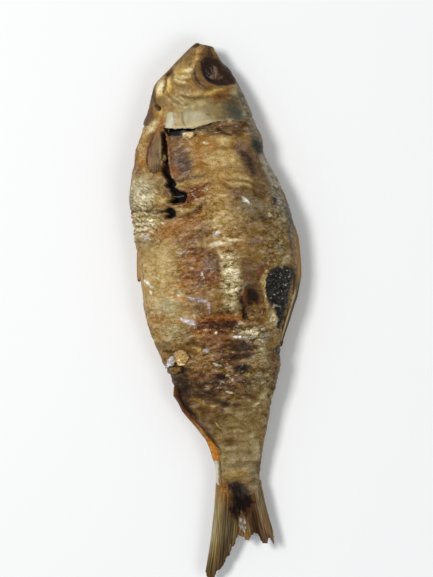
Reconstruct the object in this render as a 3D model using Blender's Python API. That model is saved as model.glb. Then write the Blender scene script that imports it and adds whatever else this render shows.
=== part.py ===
"""A small whole smoked fish, 220 mm long, lying on its right flank.

+Y points to the snout, +X to the back, +Z up out of the shown left flank. The origin is at the
centre of the bounding box, on the surface that the fish lies on. The whole fish is one solid:
a lofted body, with its folded fins and its tail joined on and its belly tear cut in.
"""

import math

import bmesh
import bpy
import numpy as np
from mathutils import Matrix, Vector

MM = 0.001
EPSILON = 1e-6

# Driving dimensions, in millimetres.
SNOUT_Y = 110.4
BODY_END_Y = -80.0
RINGS = 84
SEGMENTS = 46
SKIN_FOLD_HEIGHT = 0.35
SKIN_FOLD_SPACING = 11.0
FIN_THICKNESS = 1.2
TAIL_THICKNESS = 1.4
MERGE_DISTANCE = 0.01

# Each station of the body: its place on Y, the belly edge and the back edge on X, half of the
# thickness, and the height of the middle plane.
STATIONS = (
    (110.4, -0.4, 0.6, 0.0, 11.2),
    (108.0, -4.2, 5.3, 2.9, 11.3),
    (104.0, -8.8, 7.2, 4.8, 11.5),
    (98.0, -15.8, 11.4, 6.9, 11.8),
    (92.0, -20.6, 14.8, 8.4, 12.0),
    (84.0, -22.8, 17.8, 9.9, 12.2),
    (76.0, -25.9, 20.3, 11.1, 12.4),
    (66.0, -29.6, 22.8, 12.4, 12.6),
    (56.0, -32.4, 25.8, 13.5, 12.7),
    (46.0, -34.3, 29.4, 14.2, 12.8),
    (34.0, -32.6, 31.8, 14.6, 12.9),
    (20.0, -32.0, 32.6, 14.6, 12.9),
    (8.0, -31.8, 31.6, 14.2, 12.8),
    (0.0, -31.0, 29.4, 13.7, 12.6),
    (-10.0, -28.6, 25.4, 12.8, 12.3),
    (-22.0, -23.8, 22.4, 11.4, 11.8),
    (-34.0, -19.6, 19.0, 9.7, 11.2),
    (-46.0, -12.6, 15.0, 7.8, 10.6),
    (-58.0, -7.0, 11.9, 5.6, 9.9),
    (-68.0, -6.6, 10.0, 3.8, 9.2),
    (-76.0, -5.6, 8.0, 2.2, 8.8),
    (-80.0, 0.6, 1.6, 0.0, 8.6),
)

# Hollows in the shown flank: name, place on X and Y, half widths on X and Y, depth.
HOLLOWS = (
    ("eye socket", 7.0, 97.4, 6.2, 5.4, 2.6),
    ("cheek", -9.0, 92.0, 5.0, 3.5, 0.5),
    ("gill chamber", 2.0, 72.6, 16.0, 2.6, 1.3),
    ("throat", -22.0, 86.0, 2.6, 5.0, 1.2),
    ("torn hollow in the flank", 13.5, 4.0, 5.0, 7.5, 2.2),
    ("bare flesh by the back", 23.0, 9.0, 5.5, 9.0, 1.2),
    ("crease over the vent", -2.0, -4.5, 14.0, 2.2, 0.7),
    ("sunken belly behind the vent", -18.0, -29.0, 4.5, 7.0, 1.6),
)

# Raised places on the shown flank, in the same order.
SWELLINGS = (
    ("gill cover", -3.0, 82.0, 19.0, 5.5, 1.0),
    ("cheek bone", -15.0, 94.5, 5.0, 4.0, 0.6),
    ("shoulder", 2.0, 60.0, 14.0, 8.0, 0.6),
    ("vent lump", -17.8, -17.5, 3.6, 4.0, 1.4),
    ("ridge of the tail stalk", 1.6, -56.0, 3.5, 14.0, 0.5),
)

# Outlines, seen from above: each is X and Y in millimetres, in order round the piece.
TAIL_OUTLINE = (
    (-7.2, -64.0),
    (-9.2, -78.0),
    (-11.7, -91.7),
    (-14.6, -104.0),
    (-15.6, -109.2),
    (-14.4, -110.4),
    (-11.8, -108.8),
    (-8.4, -104.0),
    (-7.3, -100.6),
    (-5.0, -98.6),
    (-3.6, -95.2),
    (-2.4, -94.4),
    (-0.9, -90.0),
    (0.6, -91.2),
    (1.3, -88.0),
    (2.3, -92.6),
    (4.3, -92.9),
    (5.6, -90.6),
    (6.6, -91.4),
    (8.0, -95.8),
    (9.8, -96.3),
    (10.2, -93.6),
    (12.6, -95.8),
    (12.4, -91.6),
    (10.9, -84.0),
    (9.8, -76.0),
    (9.2, -64.0),
)
DORSAL_FIN_OUTLINE = (
    (28.0, 33.0),
    (33.2, 32.0),
    (34.1, 26.0),
    (34.2, 16.0),
    (33.2, 8.0),
    (30.6, 1.0),
    (27.0, -6.0),
    (23.6, -14.0),
    (20.0, -14.0),
    (25.0, 4.0),
)
PELVIC_FIN_OUTLINE = (
    (-28.0, 29.0),
    (-31.6, 28.6),
    (-33.2, 22.0),
    (-33.4, 16.0),
    (-32.0, 14.6),
    (-28.0, 16.0),
)
ANAL_FIN_OUTLINE = (
    (-14.0, -30.0),
    (-18.6, -33.5),
    (-17.6, -39.6),
    (-13.8, -48.0),
    (-9.0, -54.6),
    (-8.0, -62.0),
    (-9.4, -72.4),
    (-5.0, -72.0),
    (-4.0, -58.0),
    (-8.0, -46.0),
)
PECTORAL_FIN_OUTLINE = (
    (-15.8, 75.2),
    (-18.6, 75.4),
    (-21.8, 66.0),
    (-24.0, 56.4),
    (-22.0, 55.2),
    (-20.0, 56.0),
    (-17.6, 66.0),
)
BELLY_TEAR_OUTLINE = (
    (-16.6, 76.6),
    (-8.6, 76.2),
    (-9.0, 73.8),
    (-15.2, 72.6),
    (-14.6, 62.0),
    (-15.4, 56.0),
    (-12.2, 53.0),
    (-10.6, 48.6),
    (-11.4, 44.6),
    (-16.8, 42.0),
    (-18.6, 42.8),
    (-16.6, 46.4),
    (-16.0, 52.6),
    (-17.4, 57.0),
    (-17.6, 64.0),
    (-17.0, 72.0),
)
MOUTH_OUTLINE = (
    (0.9, 113.0),
    (2.7, 113.0),
    (1.9, 108.4),
    (3.4, 101.0),
    (1.2, 108.0),
)

PECTORAL_TILT = math.radians(28)
PECTORAL_MIDDLE = (-20.0, 66.0, 22.2)
TAIL_DROOP = math.radians(2.0)
BELLY_TEAR_FLOOR = 17.0
CUTTER_TOP = 40.0


def start_collections():
    """Empties the scene and gives the collections for the fish and for its cutters."""
    for old in list(bpy.data.objects):
        bpy.data.objects.remove(old, do_unlink=True)
    made = []
    for name in ("smoked_fish", "cutters"):
        collection = bpy.data.collections.new(name)
        bpy.context.scene.collection.children.link(collection)
        made.append(collection)
    return made


def smoked_skin():
    """The finish of the whole fish: golden-brown skin, a little oily."""
    material = bpy.data.materials.new("smoked_skin")
    material.use_nodes = True
    shader = material.node_tree.nodes["Principled BSDF"]
    shader.inputs["Base Color"].default_value = (0.30, 0.19, 0.09, 1.0)
    shader.inputs["Roughness"].default_value = 0.45
    shader.inputs["Metallic"].default_value = 0.0
    return material


def smooth_through(knots, values, at):
    """A cubic through the values at the knots, which are in rising order."""
    slopes = np.gradient(values, knots)
    place = np.clip(np.searchsorted(knots, at, side="right") - 1, 0, len(knots) - 2)
    width = knots[place + 1] - knots[place]
    t = (at - knots[place]) / width
    ends = (2 * t**3 - 3 * t**2 + 1) * values[place] + (3 * t**2 - 2 * t**3) * values[place + 1]
    tangents = (t**3 - 2 * t**2 + t) * slopes[place] + (t**3 - t**2) * slopes[place + 1]
    return ends + width * tangents


def relief(x, y):
    """How far the shown flank stands out at each place, in millimetres."""
    total = np.zeros_like(x)
    for sign, places in ((-1, HOLLOWS), (1, SWELLINGS)):
        for _, middle_x, middle_y, half_x, half_y, depth in places:
            distance = ((x - middle_x) / half_x) ** 2 + ((y - middle_y) / half_y) ** 2
            total += sign * depth * np.exp(-(distance**1.5))
    arch = y + 0.006 * x**2
    on_trunk = 1 / (1 + np.exp((np.abs(y - 5) - 66) / 3))
    return total + on_trunk * SKIN_FOLD_HEIGHT * np.sin(2 * math.pi * arch / SKIN_FOLD_SPACING)


def body_points(directions):
    """Places the points of a unit sphere, whose poles are on Z, on the surface of the body."""
    along = np.arccos(np.clip(directions[:, 2], -1, 1))
    stations = np.array(STATIONS)
    middle_y = (SNOUT_Y + BODY_END_Y) / 2
    half_length = (SNOUT_Y - BODY_END_Y) / 2
    knots = np.arccos(np.clip((stations[:, 0] - middle_y) / half_length, -1, 1))
    belly, back, half, spine = (smooth_through(knots, stations[:, i], along) for i in range(1, 5))
    around = np.hypot(directions[:, 0], directions[:, 1]) + EPSILON
    across = directions[:, 0] / around
    upward = directions[:, 1] / around
    x = (belly + back) / 2 + (back - belly) / 2 * across
    y = middle_y + half_length * np.cos(along)
    keel = 1 + 0.1 * across
    z = spine + half * keel * np.sign(upward) * np.abs(upward) ** 0.9
    shown = np.clip(upward, 0, 1) ** 0.5 * np.clip(half / 6, 0, 1)
    return np.stack([x, y, z + relief(x, y) * shown], axis=1) * MM


def body(collection):
    """The body from snout to tail stalk, from a sphere whose rings become the sections."""
    shape = bmesh.new()
    bmesh.ops.create_uvsphere(shape, u_segments=SEGMENTS, v_segments=RINGS, radius=1)
    shape.verts.ensure_lookup_table()
    directions = np.array([vertex.co for vertex in shape.verts])
    for vertex, point in zip(shape.verts, body_points(directions)):
        vertex.co = point
    rest_on_flat_spot(shape)
    bmesh.ops.recalc_face_normals(shape, faces=shape.faces)
    mesh = bpy.data.meshes.new("smoked_fish")
    shape.to_mesh(mesh)
    shape.free()
    made = bpy.data.objects.new("smoked_fish", mesh)
    collection.objects.link(made)
    return made


def rest_on_flat_spot(shape):
    """Cuts the underside level at the height of the surface that the fish lies on."""
    everything = shape.verts[:] + shape.edges[:] + shape.faces[:]
    cut = bmesh.ops.bisect_plane(
        shape, geom=everything, plane_co=(0, 0, 0), plane_no=(0, 0, 1), clear_inner=True
    )
    rim = [edge for edge in cut["geom_cut"] if isinstance(edge, bmesh.types.BMEdge)]
    bmesh.ops.holes_fill(shape, edges=rim, sides=0)


def slab(name, outline, low, high, collection, turn=Matrix()):
    """A flat piece with this outline, between two heights, then turned about the origin."""
    curve = bpy.data.curves.new(name, "CURVE")
    curve.dimensions = "2D"
    curve.fill_mode = "BOTH"
    curve.extrude = (high - low) / 2 * MM
    spline = curve.splines.new("POLY")
    spline.points.add(len(outline) - 1)
    for point, (x, y) in zip(spline.points, outline):
        point.co = (x * MM, y * MM, 0, 1)
    spline.use_cyclic_u = True
    drawn = bpy.data.objects.new(name, curve)
    collection.objects.link(drawn)
    graph = bpy.context.evaluated_depsgraph_get()
    mesh = bpy.data.meshes.new_from_object(drawn.evaluated_get(graph))
    bpy.data.objects.remove(drawn)
    shape = bmesh.new()
    shape.from_mesh(mesh)
    bmesh.ops.remove_doubles(shape, verts=shape.verts, dist=MERGE_DISTANCE * MM)
    bmesh.ops.recalc_face_normals(shape, faces=shape.faces)
    rise = Matrix.Translation((0, 0, (high + low) / 2 * MM))
    bmesh.ops.transform(shape, matrix=turn @ rise, verts=shape.verts)
    shape.to_mesh(mesh)
    shape.free()
    made = bpy.data.objects.new(name, mesh)
    collection.objects.link(made)
    return made


def tilted_about(place, angle, axis):
    """A turn about an axis through this place, given in millimetres."""
    middle = Vector(place) * MM
    return Matrix.Translation(middle) @ Matrix.Rotation(angle, 4, axis) @ Matrix.Translation(-middle)


def fins(collection):
    """The folded fins and the tail, each a thin slab at the height of the body's edge."""
    made = []
    for name, outline, height in (
        ("dorsal_fin", DORSAL_FIN_OUTLINE, 12.8),
        ("pelvic_fin", PELVIC_FIN_OUTLINE, 12.8),
        ("anal_fin", ANAL_FIN_OUTLINE, 10.4),
    ):
        low = height - FIN_THICKNESS / 2
        made.append(slab(name, outline, low, low + FIN_THICKNESS, collection))
    droop = tilted_about((0, BODY_END_Y, 8.8), TAIL_DROOP, "X")
    low = 8.8 - TAIL_THICKNESS / 2
    made.append(slab("tail", TAIL_OUTLINE, low, low + TAIL_THICKNESS, collection, droop))
    tilt = tilted_about(PECTORAL_MIDDLE, -PECTORAL_TILT, "Y")
    low = PECTORAL_MIDDLE[2] - FIN_THICKNESS / 2
    blade = slab("pectoral_fin", PECTORAL_FIN_OUTLINE, low, low + FIN_THICKNESS, collection, tilt)
    return made + [blade]


def combine(target, other, operation):
    """Joins another shape to the target, or cuts it out."""
    other.hide_render = True
    other.display_type = "WIRE"
    modifier = target.modifiers.new(other.name, "BOOLEAN")
    modifier.operation = operation
    modifier.object = other


def main():
    fish_collection, cutters = start_collections()
    fish = body(fish_collection)
    for name, outline, floor in (
        ("belly_tear", BELLY_TEAR_OUTLINE, BELLY_TEAR_FLOOR),
        ("mouth", MOUTH_OUTLINE, 0),
    ):
        combine(fish, slab(name, outline, floor, CUTTER_TOP, cutters), "DIFFERENCE")
    for fin in fins(cutters):
        combine(fish, fin, "UNION")
    fish.data.materials.append(smoked_skin())
    fish.data.shade_smooth()
    fish.data.set_sharp_from_angle(angle=math.radians(40))


main()
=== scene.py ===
"""The looks of a small smoked fish: wrinkled golden skin, gill covers, a torn belly, folded and frayed fins.

Places and sizes are millimetres in the fish's own frame: +Y to the snout, +X to the back, +Z up out of
the shown flank. They become metres, through MM, as each mesh is made.
"""

import math

import bmesh
import bpy
import numpy as np
from bpy.props import FloatProperty, FloatVectorProperty, PointerProperty
from mathutils import Matrix, Vector


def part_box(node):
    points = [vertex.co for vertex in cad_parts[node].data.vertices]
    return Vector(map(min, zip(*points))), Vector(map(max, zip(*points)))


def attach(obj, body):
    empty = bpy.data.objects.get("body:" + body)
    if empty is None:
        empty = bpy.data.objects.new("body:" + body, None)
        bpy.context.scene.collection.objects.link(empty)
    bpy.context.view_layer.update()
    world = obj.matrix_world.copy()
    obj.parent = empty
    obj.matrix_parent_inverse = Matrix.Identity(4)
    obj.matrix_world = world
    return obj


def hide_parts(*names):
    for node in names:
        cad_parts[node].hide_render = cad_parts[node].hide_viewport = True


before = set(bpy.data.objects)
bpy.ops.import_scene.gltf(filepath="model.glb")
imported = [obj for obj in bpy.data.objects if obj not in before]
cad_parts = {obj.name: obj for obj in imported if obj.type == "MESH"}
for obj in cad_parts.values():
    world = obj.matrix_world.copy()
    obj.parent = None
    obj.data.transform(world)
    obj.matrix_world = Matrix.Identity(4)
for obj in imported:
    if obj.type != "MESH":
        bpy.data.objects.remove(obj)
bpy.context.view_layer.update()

bl_info = {
    "name": "Smoked Fish",
    "version": (1, 0, 0),
    "blender": (4, 5, 0),
    "location": "3D View > Sidebar > Smoked Fish",
    "description": "Builds the skin, gill covers, fins and torn places of a smoked fish",
    "category": "Add Mesh",
}

NODE = "smoked_fish"
FISH_LOW, FISH_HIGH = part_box(NODE)
FISH_LENGTH = 220.8
MM = (FISH_HIGH[1] - FISH_LOW[1]) / FISH_LENGTH

# Each station of the body: its place on Y, the belly edge and the back edge on X, half of the
# thickness, and the height of the middle plane.
STATIONS = (
    (110.4, -1, -0.2, 0, 11),
    (109.7, -2.2, 1, 1.2, 11.1),
    (109.1, -3.1, 3.2, 1.9, 11.1),
    (108.5, -3.8, 5, 2.5, 11.2),
    (106, -6.6, 6.5, 3.9, 11.4),
    (102, -11.2, 8.6, 5.6, 11.6),
    (98, -15.9, 11.4, 6.9, 11.8),
    (95, -19.2, 13.4, 7.8, 11.9),
    (91, -20.9, 15.2, 8.6, 12),
    (84, -23.2, 17.9, 9.9, 12.2),
    (80, -25.2, 19.2, 10.6, 12.3),
    (76, -26.2, 20.4, 11.1, 12.4),
    (68, -29.5, 22.7, 12.2, 12.6),
    (63.5, -30.4, 22.8, 12.7, 12.6),
    (56, -32.7, 25.7, 13.5, 12.7),
    (48, -34, 28.8, 14.1, 12.8),
    (40, -33.1, 31.2, 14.5, 12.9),
    (32, -32.9, 32.7, 14.6, 12.9),
    (22, -31.9, 32.9, 14.6, 12.9),
    (14, -31.9, 32.2, 14.5, 12.9),
    (6, -31.8, 30.6, 14.1, 12.7),
    (-2, -30.8, 28, 13.5, 12.6),
    (-10, -28.6, 24.9, 12.8, 12.3),
    (-18, -26.1, 22.9, 11.9, 12),
    (-24, -23.4, 22.1, 11.1, 11.7),
    (-32, -22, 19.9, 10, 11.3),
    (-40, -17.9, 16.8, 8.8, 10.9),
    (-48, -12.6, 14.8, 7.4, 10.5),
    (-56, -8, 12.4, 5.9, 10),
    (-64, -6.4, 10.6, 4.4, 9.5),
    (-71, -7, 9.7, 3.1, 9.1),
    (-75, -7, 9.6, 2.2, 8.9),
    (-78.5, -5.2, 8.4, 1.3, 8.8),
    (-81, -2.2, 5.4, 0.6, 8.8),
    (-82, 0.6, 2.6, 0, 8.8),
)
FORM_TOP_Y, FORM_END_Y = STATIONS[0][0], STATIONS[-1][0]
HEAD_END_Y = 71.0
TRUNK_START_Y = 85.0
GILL_SEAM_Y = 78.0
TAIL_PLANE_Z = 8.8
CROWDING = 0.32


def srgb(red, green, blue):
    """A colour given in display values from 0 to 255, as the linear light that shaders take."""
    shares = (np.array((red, green, blue)) + 0.5) / 256
    curved = ((shares + 0.055) / 1.055) ** 2.4
    return tuple(float(v) for v in np.where(shares <= 0.04045, shares / 12.92, curved))


# The skin's colours in display values, with what each one is for.
COLOURS = {
    "cream": ((230, 210, 162), "pale ridges and torn skin edges"),
    # Painted highlights: shine and lilac, laid as small spots and strokes on the skin, are the white and cool
    # glints of its wet ridges.
    "shine": ((252, 246, 230), "oily white glints"),
    "lilac": ((216, 208, 212), "cool glints on the belly side"),
    "pale_gold": ((200, 171, 114), "bright flank and belly"),
    "gold": ((171, 136, 80), "main flank colour"),
    "tan": ((146, 111, 64), "shaded flank colour"),
    "khaki": ((136, 115, 72), "tail stalk"),
    "olive": ((110, 90, 54), "greenish brown mottling"),
    "sage": ((180, 164, 122), "scaled belly and gill cover"),
    "blue_white": ((204, 196, 166), "thin shining edge of the gill cover"),
    "mauve": ((120, 93, 74), "bruised skin"),
    "umber": ((92, 64, 36), "brown shadowed skin"),
    "dark_brown": ((56, 35, 17), "dark brown patches"),
    # near_black also stands for painted shade: the dark inside openings, gaps and notches.
    "near_black": ((14, 10, 7), "openings and gaps"),
    "plum": ((42, 25, 20), "purple-black dried flesh"),
    "red_brown": ((106, 56, 26), "smoked creases"),
    "russet": ((150, 94, 54), "pink-brown folds"),
    "orange_brown": ((158, 102, 42), "warm smoked patches"),
    "orange": ((192, 122, 50), "bright orange places"),
    "yellow": ((222, 186, 88), "yellow fat"),
    "nape_grey": ((124, 114, 94), "grey skin of the back"),
    "pale_grey": ((160, 150, 128), "pale grey strip along the back"),
    "slate": ((58, 56, 50), "dark blue-grey skin and flesh"),
    # eye_brown is also painted shade in the flank's hollow and round the rims of the tears and the gill gap.
    "eye_brown": ((44, 27, 17), "sunken eye"),
}


# ---- Noise and masks ----


# Whole numbers that scatter a lattice's columns, rows and seeds, and then stir the result.
COLUMN_SCATTER, ROW_SCATTER, SEED_SCATTER = 374761393, 668265263, 974711
STIRS = ((13, 1274126177), (15, 2246822519))
LAST_SHIFT = 16
WHOLE_RANGE = 2**32
NOISE_GAIN = 1.6
CLOUD_SUM = 1.4


def random_turn(column, row, seed):
    """An angle for each lattice point, from whole numbers alone, so that it is the same each time."""
    mixed = column.astype(np.uint32) * np.uint32(COLUMN_SCATTER)
    mixed = mixed + row.astype(np.uint32) * np.uint32(ROW_SCATTER)
    mixed = mixed + np.uint32(seed * SEED_SCATTER % (WHOLE_RANGE - 5))
    for shift, factor in STIRS:
        mixed = (mixed ^ (mixed >> np.uint32(shift))) * np.uint32(factor)
    return (mixed ^ (mixed >> np.uint32(LAST_SHIFT))).astype(np.float64) * (2 * math.pi / WHOLE_RANGE)


def noise(x, y, seed=0):
    """Smooth noise from about -1 to 1, with features about one unit across."""
    column, row = np.floor(x), np.floor(y)
    dx, dy = x - column, y - row
    column, row = column.astype(np.int64), row.astype(np.int64)

    def corner(step_x, step_y):
        turn = random_turn(column + step_x, row + step_y, seed)
        return np.cos(turn) * (dx - step_x) + np.sin(turn) * (dy - step_y)

    ease_x = dx**3 * (dx * (dx * 6 - 15) + 10)
    ease_y = dy**3 * (dy * (dy * 6 - 15) + 10)
    low = corner(0, 0) * (1 - ease_x) + corner(1, 0) * ease_x
    high = corner(0, 1) * (1 - ease_x) + corner(1, 1) * ease_x
    return NOISE_GAIN * (low * (1 - ease_y) + high * ease_y)


def cloudy(x, y, seed=0, octaves=3):
    """Several layers of noise, each finer and weaker than the last."""
    total, strength = 0.0, 1.0
    for octave in range(octaves):
        total = total + strength * noise(x * 2**octave + 13.7 * octave, y * 2**octave, seed + octave)
        strength /= 2
    return total / CLOUD_SUM


def ease(low, high, value):
    """Rises smoothly from 0 at low to 1 at high; falls where low is above high."""
    t = np.clip((value - low) / (high - low), 0, 1)
    return t * t * (3 - 2 * t)


def bell(distance, width):
    """1 where a distance is 0, falling smoothly to 0 over a few widths."""
    return np.exp(-((distance / width) ** 2))


def near(x, y, points, reach):
    """Which of the places lie in the box round these points, widened by a reach."""
    low, high = np.min(points, axis=0) - reach, np.max(points, axis=0) + reach
    return np.flatnonzero((x > low[0]) & (x < high[0]) & (y > low[1]) & (y < high[1]))


def nearest_on_line(x, y, points, reach=4.0):
    """How far each place is from a line through these points, and how far along it the nearest point is."""
    nearest, along = np.full(np.shape(x), reach), np.zeros(np.shape(x))
    part = near(x, y, points, reach)
    px, py, close, share = x[part], y[part], nearest[part], along[part]
    for step, ((ax, ay), (bx, by)) in enumerate(zip(points, points[1:])):
        along_x, along_y = bx - ax, by - ay
        t = ((px - ax) * along_x + (py - ay) * along_y) / (along_x**2 + along_y**2 + 1e-12)
        t = np.clip(t, 0, 1)
        distance = np.hypot(px - ax - t * along_x, py - ay - t * along_y)
        share = np.where(distance < close, (step + t) / (len(points) - 1), share)
        close = np.minimum(close, distance)
    nearest[part], along[part] = close, share
    return nearest, along


def distance_to_line(x, y, points, reach=4.0):
    return nearest_on_line(x, y, points, reach)[0]


def depth_inside(x, y, outline):
    """How deep each place is inside a closed outline: below 0 outside it."""
    inside = np.zeros(np.shape(x), bool)
    part = near(x, y, outline, 0)
    px, py, within = x[part], y[part], inside[part]
    for (ax, ay), (bx, by) in zip(outline, outline[1:] + outline[:1]):
        rise = by - ay if by != ay else 1e-9
        within ^= ((ay > py) != (by > py)) & (px < (bx - ax) * (py - ay) / rise + ax)
    inside[part] = within
    edge = distance_to_line(x, y, outline + outline[:1])
    return np.where(inside, edge, -edge)


def smooth_through(knots, values, at):
    """A cubic through the values at the knots, which are in rising order."""
    slopes = np.gradient(values, knots)
    place = np.clip(np.searchsorted(knots, at, side="right") - 1, 0, len(knots) - 2)
    width = knots[place + 1] - knots[place]
    t = (at - knots[place]) / width
    ends = (2 * t**3 - 3 * t**2 + 1) * values[place] + (3 * t**2 - 2 * t**3) * values[place + 1]
    tangents = (t**3 - 2 * t**2 + t) * slopes[place] + (t**3 - t**2) * slopes[place + 1]
    return ends + width * tangents


def rounded(points, cuts=5):
    """A smooth line through these points."""
    points = np.array(points, float)
    if len(points) < 3:
        return [tuple(point) for point in points]
    knots = np.arange(len(points), dtype=float)
    at = np.linspace(0, knots[-1], cuts * (len(points) - 1) + 1)
    return list(zip(smooth_through(knots, points[:, 0], at), smooth_through(knots, points[:, 1], at)))


def oval(x, y, spot):
    """How far each place is from the middle of an oval spot: 1 at its edge, and 9 far away."""
    middle_x, middle_y, length, width, turn = spot[:5]
    far = np.full(np.shape(x), 9.0)
    part = near(x, y, [(middle_x, middle_y)], max(length, width))
    c, s = math.cos(math.radians(turn)), math.sin(math.radians(turn))
    dx, dy = x[part] - middle_x, y[part] - middle_y
    far[part] = np.hypot(2 * (dx * c + dy * s) / length, 2 * (dy * c - dx * s) / width)
    return far


def blob(x, y, spot):
    """1 in the middle of an oval spot, fading to 0 just past its edge."""
    return ease(1.35, 0.55, oval(x, y, spot))


# ---- The form of the body ----


BACK_FULLNESS = 0.1  # how much thicker the body is towards its back
FLANK_ROUNDING = 0.9  # below 1, the flank is fuller than an oval
WRINKLE_CREST = 7  # where on X the arched wrinkles turn
WRINKLE_SLANT = 0.05
FLOOR_SOFTNESS = 0.15


def profile(y):
    """The body's belly edge, back edge, half thickness and middle height at each place on Y."""
    table = np.array(STATIONS)
    middle, half = (FORM_TOP_Y + FORM_END_Y) / 2, (FORM_TOP_Y - FORM_END_Y) / 2
    knots = np.arccos(np.clip((table[:, 0] - middle) / half, -1, 1))
    at = np.arccos(np.clip((y - middle) / half, -1, 1))
    return [smooth_through(knots, table[:, i], at) for i in range(1, 5)]


def flank_height(x, y):
    """The height of the shown flank, without its relief."""
    belly, back, half, spine = profile(y)
    across = np.clip((2 * x - belly - back) / np.maximum(back - belly, 0.01), -1, 1)
    return spine + half * (1 + BACK_FULLNESS * across) * (1 - across**2) ** (FLANK_ROUNDING / 2)


def height_at(x, y):
    """The height of the shown flank at one place."""
    return float(flank_height(np.array(x), np.array(y)))


def skin_frame(x, y, z):
    """The distance round from the crest of the flank, and the place along the arched wrinkles."""
    belly, back, half, spine = profile(y)
    middle = (belly + back) / 2
    drop = np.maximum(half - np.abs(z - spine), 0)
    round_body = np.sign(x - middle) * np.hypot(x - middle, drop) + middle
    arch = 0.004 + 0.007 * ease(0, 45, y)
    lower = np.maximum(drop - 0.25 * half, 0)
    beyond = round_body - WRINKLE_CREST
    return round_body + np.sign(x - middle) * lower, y + WRINKLE_SLANT * beyond + arch * beyond**2


# Hollows (below 0) and swellings of the head: middle, length, width, turn, height.
HEAD_FORMS = (
    (1.9, 105.4, 6.6, 3.4, 78, 0.6),
    (4.6, 105.8, 6.6, 2.6, 103, -0.5),
    (6.6, 104.6, 6, 1.6, -62, 0.4),
    (-7.4, 103.6, 13, 4.6, 44, 0.5),
    (-3, 103.4, 10, 1.2, 62, -0.35),
    (-17.2, 92.8, 7, 2.8, 76, 0.6),
    (-15.2, 93.6, 6, 1, 74, -0.5),
    (-13.7, 94, 6, 1.8, 80, 0.5),
    (-10.6, 95.6, 5, 1.2, -28, 0.3),
    (-9.8, 93.8, 6, 1.4, -28, -0.45),
    (-6.6, 98.4, 9, 4.4, -4, 0.5),
    (-12.8, 98.6, 4.4, 1.8, 38, -0.6),
    (-5, 92.4, 12, 5.4, -12, 0.35),
    (-13.6, 87.4, 11, 3.6, -8, 0.4),
    (-8.2, 86.1, 4, 2, -24, -0.5),
    (7, 87.2, 10, 3.6, 0, -0.4),
    (-19, 85, 3, 1.8, -50, -1.6),
    (-22.4, 80.4, 3.4, 6, 20, -0.8),
    (-21.2, 77.6, 5, 3.2, 50, 0.6),
)
EYE_RING = (
    (-0.8, 101.6), (-1.6, 98.8), (-1.4, 96.2), (-0.3, 93.7), (2, 91.5), (5, 90.2), (8.4, 89.9),
    (11.8, 90.6),
)
EYE_SOCKET = (
    (0.3, 102.8), (3.2, 104.2), (6, 103.8), (8.7, 102), (11, 100), (13.4, 97.5), (15.3, 93.6), (13.4, 92),
    (9.8, 91.5), (6.4, 91.7), (3.2, 93.1), (0.9, 95.6), (0, 98.8),
)

# Hollows and swellings of the trunk's shown flank, in the same columns.
TRUNK_FORMS = (
    (2, 73.4, 34, 3.2, 0, -1.1),
    (-12.4, 74.4, 9, 2.4, -4, -1.8),
    (-12, 62, 8, 13, 0, -0.5),
    (-8, 50.6, 16, 1.2, 10, -0.6),
    (-7.6, 52.6, 14, 1.6, 6, 0.6),
    (-6, 48.4, 9, 3.2, 20, 0.5),
    (-9, 44.4, 12, 1.2, 24, -0.5),
    (-9.6, 42, 14, 1.6, 24, 0.5),
    (-9, 38.2, 14, 1.8, 18, 0.45),
    (-9.4, 40.2, 12, 1, 20, -0.45),
    (18, 59, 12, 3.2, -78, -0.5),
    (19.4, 47.4, 5, 5, 0, -0.4),
    (13.6, 44, 4.4, 1.4, -55, 0.5),
    (1, 27.2, 9, 2.6, 0, 0.6),
    (6.8, 28.8, 8, 1.6, -12, 0.5),
    (2.2, 24.8, 14, 1.4, 0, -0.4),
    (-2.8, 17.4, 6, 14, -8, 0.5),
    (0.6, 17.6, 1.4, 12, -4, -0.5),
    (5, 10, 6, 15, -4, 0.45),
    (-9.4, 6, 9, 1.8, -18, 0.7),
    (-13.6, -3, 7, 1.8, -30, 0.7),
    (-1, -5.4, 22, 2.4, -2, -1),
    (-1, -2, 20, 2.2, 2, 0.3),
    (10.4, -9.6, 12, 2.6, -10, 0.6),
    (6.6, -13.4, 14, 1.8, -3, -0.5),
    (6.6, -20.4, 10, 1.4, -5, -0.5),
    (-18.6, -30, 8, 11, -25, -1.2),
    (-12, -35.8, 10, 1.2, -24, 0.5),
    (-16.4, -40, 12, 1.6, -50, -0.5),
    (23.6, 7, 9, 17, -6, -1),
    (25, -5, 3.6, 12, -14, -0.5),
    (19, 9, 2, 14, -8, 0.5),
)

# The flank's openings, bare flesh and dark places, as closed outlines.
BELLY_TEAR = (
    (-18.4, 74.6), (-17.2, 74.8), (-16.6, 71), (-16.7, 66), (-16.6, 61.5), (-16.4, 57.4),
    (-15.8, 55.4), (-14.2, 53.4), (-14.9, 51.6), (-12.8, 49.8), (-10.4, 49.3), (-10.2, 47.6),
    (-11.4, 45.4), (-15.8, 45), (-18.2, 45.9), (-15.6, 46.9), (-16.2, 49.6), (-17, 51.6),
    (-18.4, 52.8), (-17, 54.8), (-18.4, 56.2), (-19.7, 59.2), (-18.5, 61.6), (-18.6, 66),
)
LOWER_TEAR = (
    (-22.4, 42.2), (-19.8, 42.7), (-18.2, 43.7), (-16.6, 43.3), (-15.8, 42), (-15.4, 40.9), (-16, 39.9),
    (-17.6, 39.3), (-19.4, 39.6), (-19.8, 40.3), (-18.4, 40.9), (-18, 41.5), (-19.4, 42),
)
GILL_GAP = (
    (-17, 76.6), (-12, 76.4), (-5, 76.2), (-4.4, 74.8), (-8.6, 73.9), (-12, 73.4), (-15.6, 73.4),
    (-16.8, 74.6),
)
FLANK_HOLLOW = (
    (11, 8.8), (13, 9.8), (15.2, 8.4), (16.8, 6.6), (17.7, 4.2), (16.8, 2), (15, 1), (13.6, 1.8), (12, 0.4),
    (10.4, -0.8), (10.2, -4), (8.8, -4.2), (8.5, -1), (9.6, 1.2), (8.4, 3.4), (10, 6),
)
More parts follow.
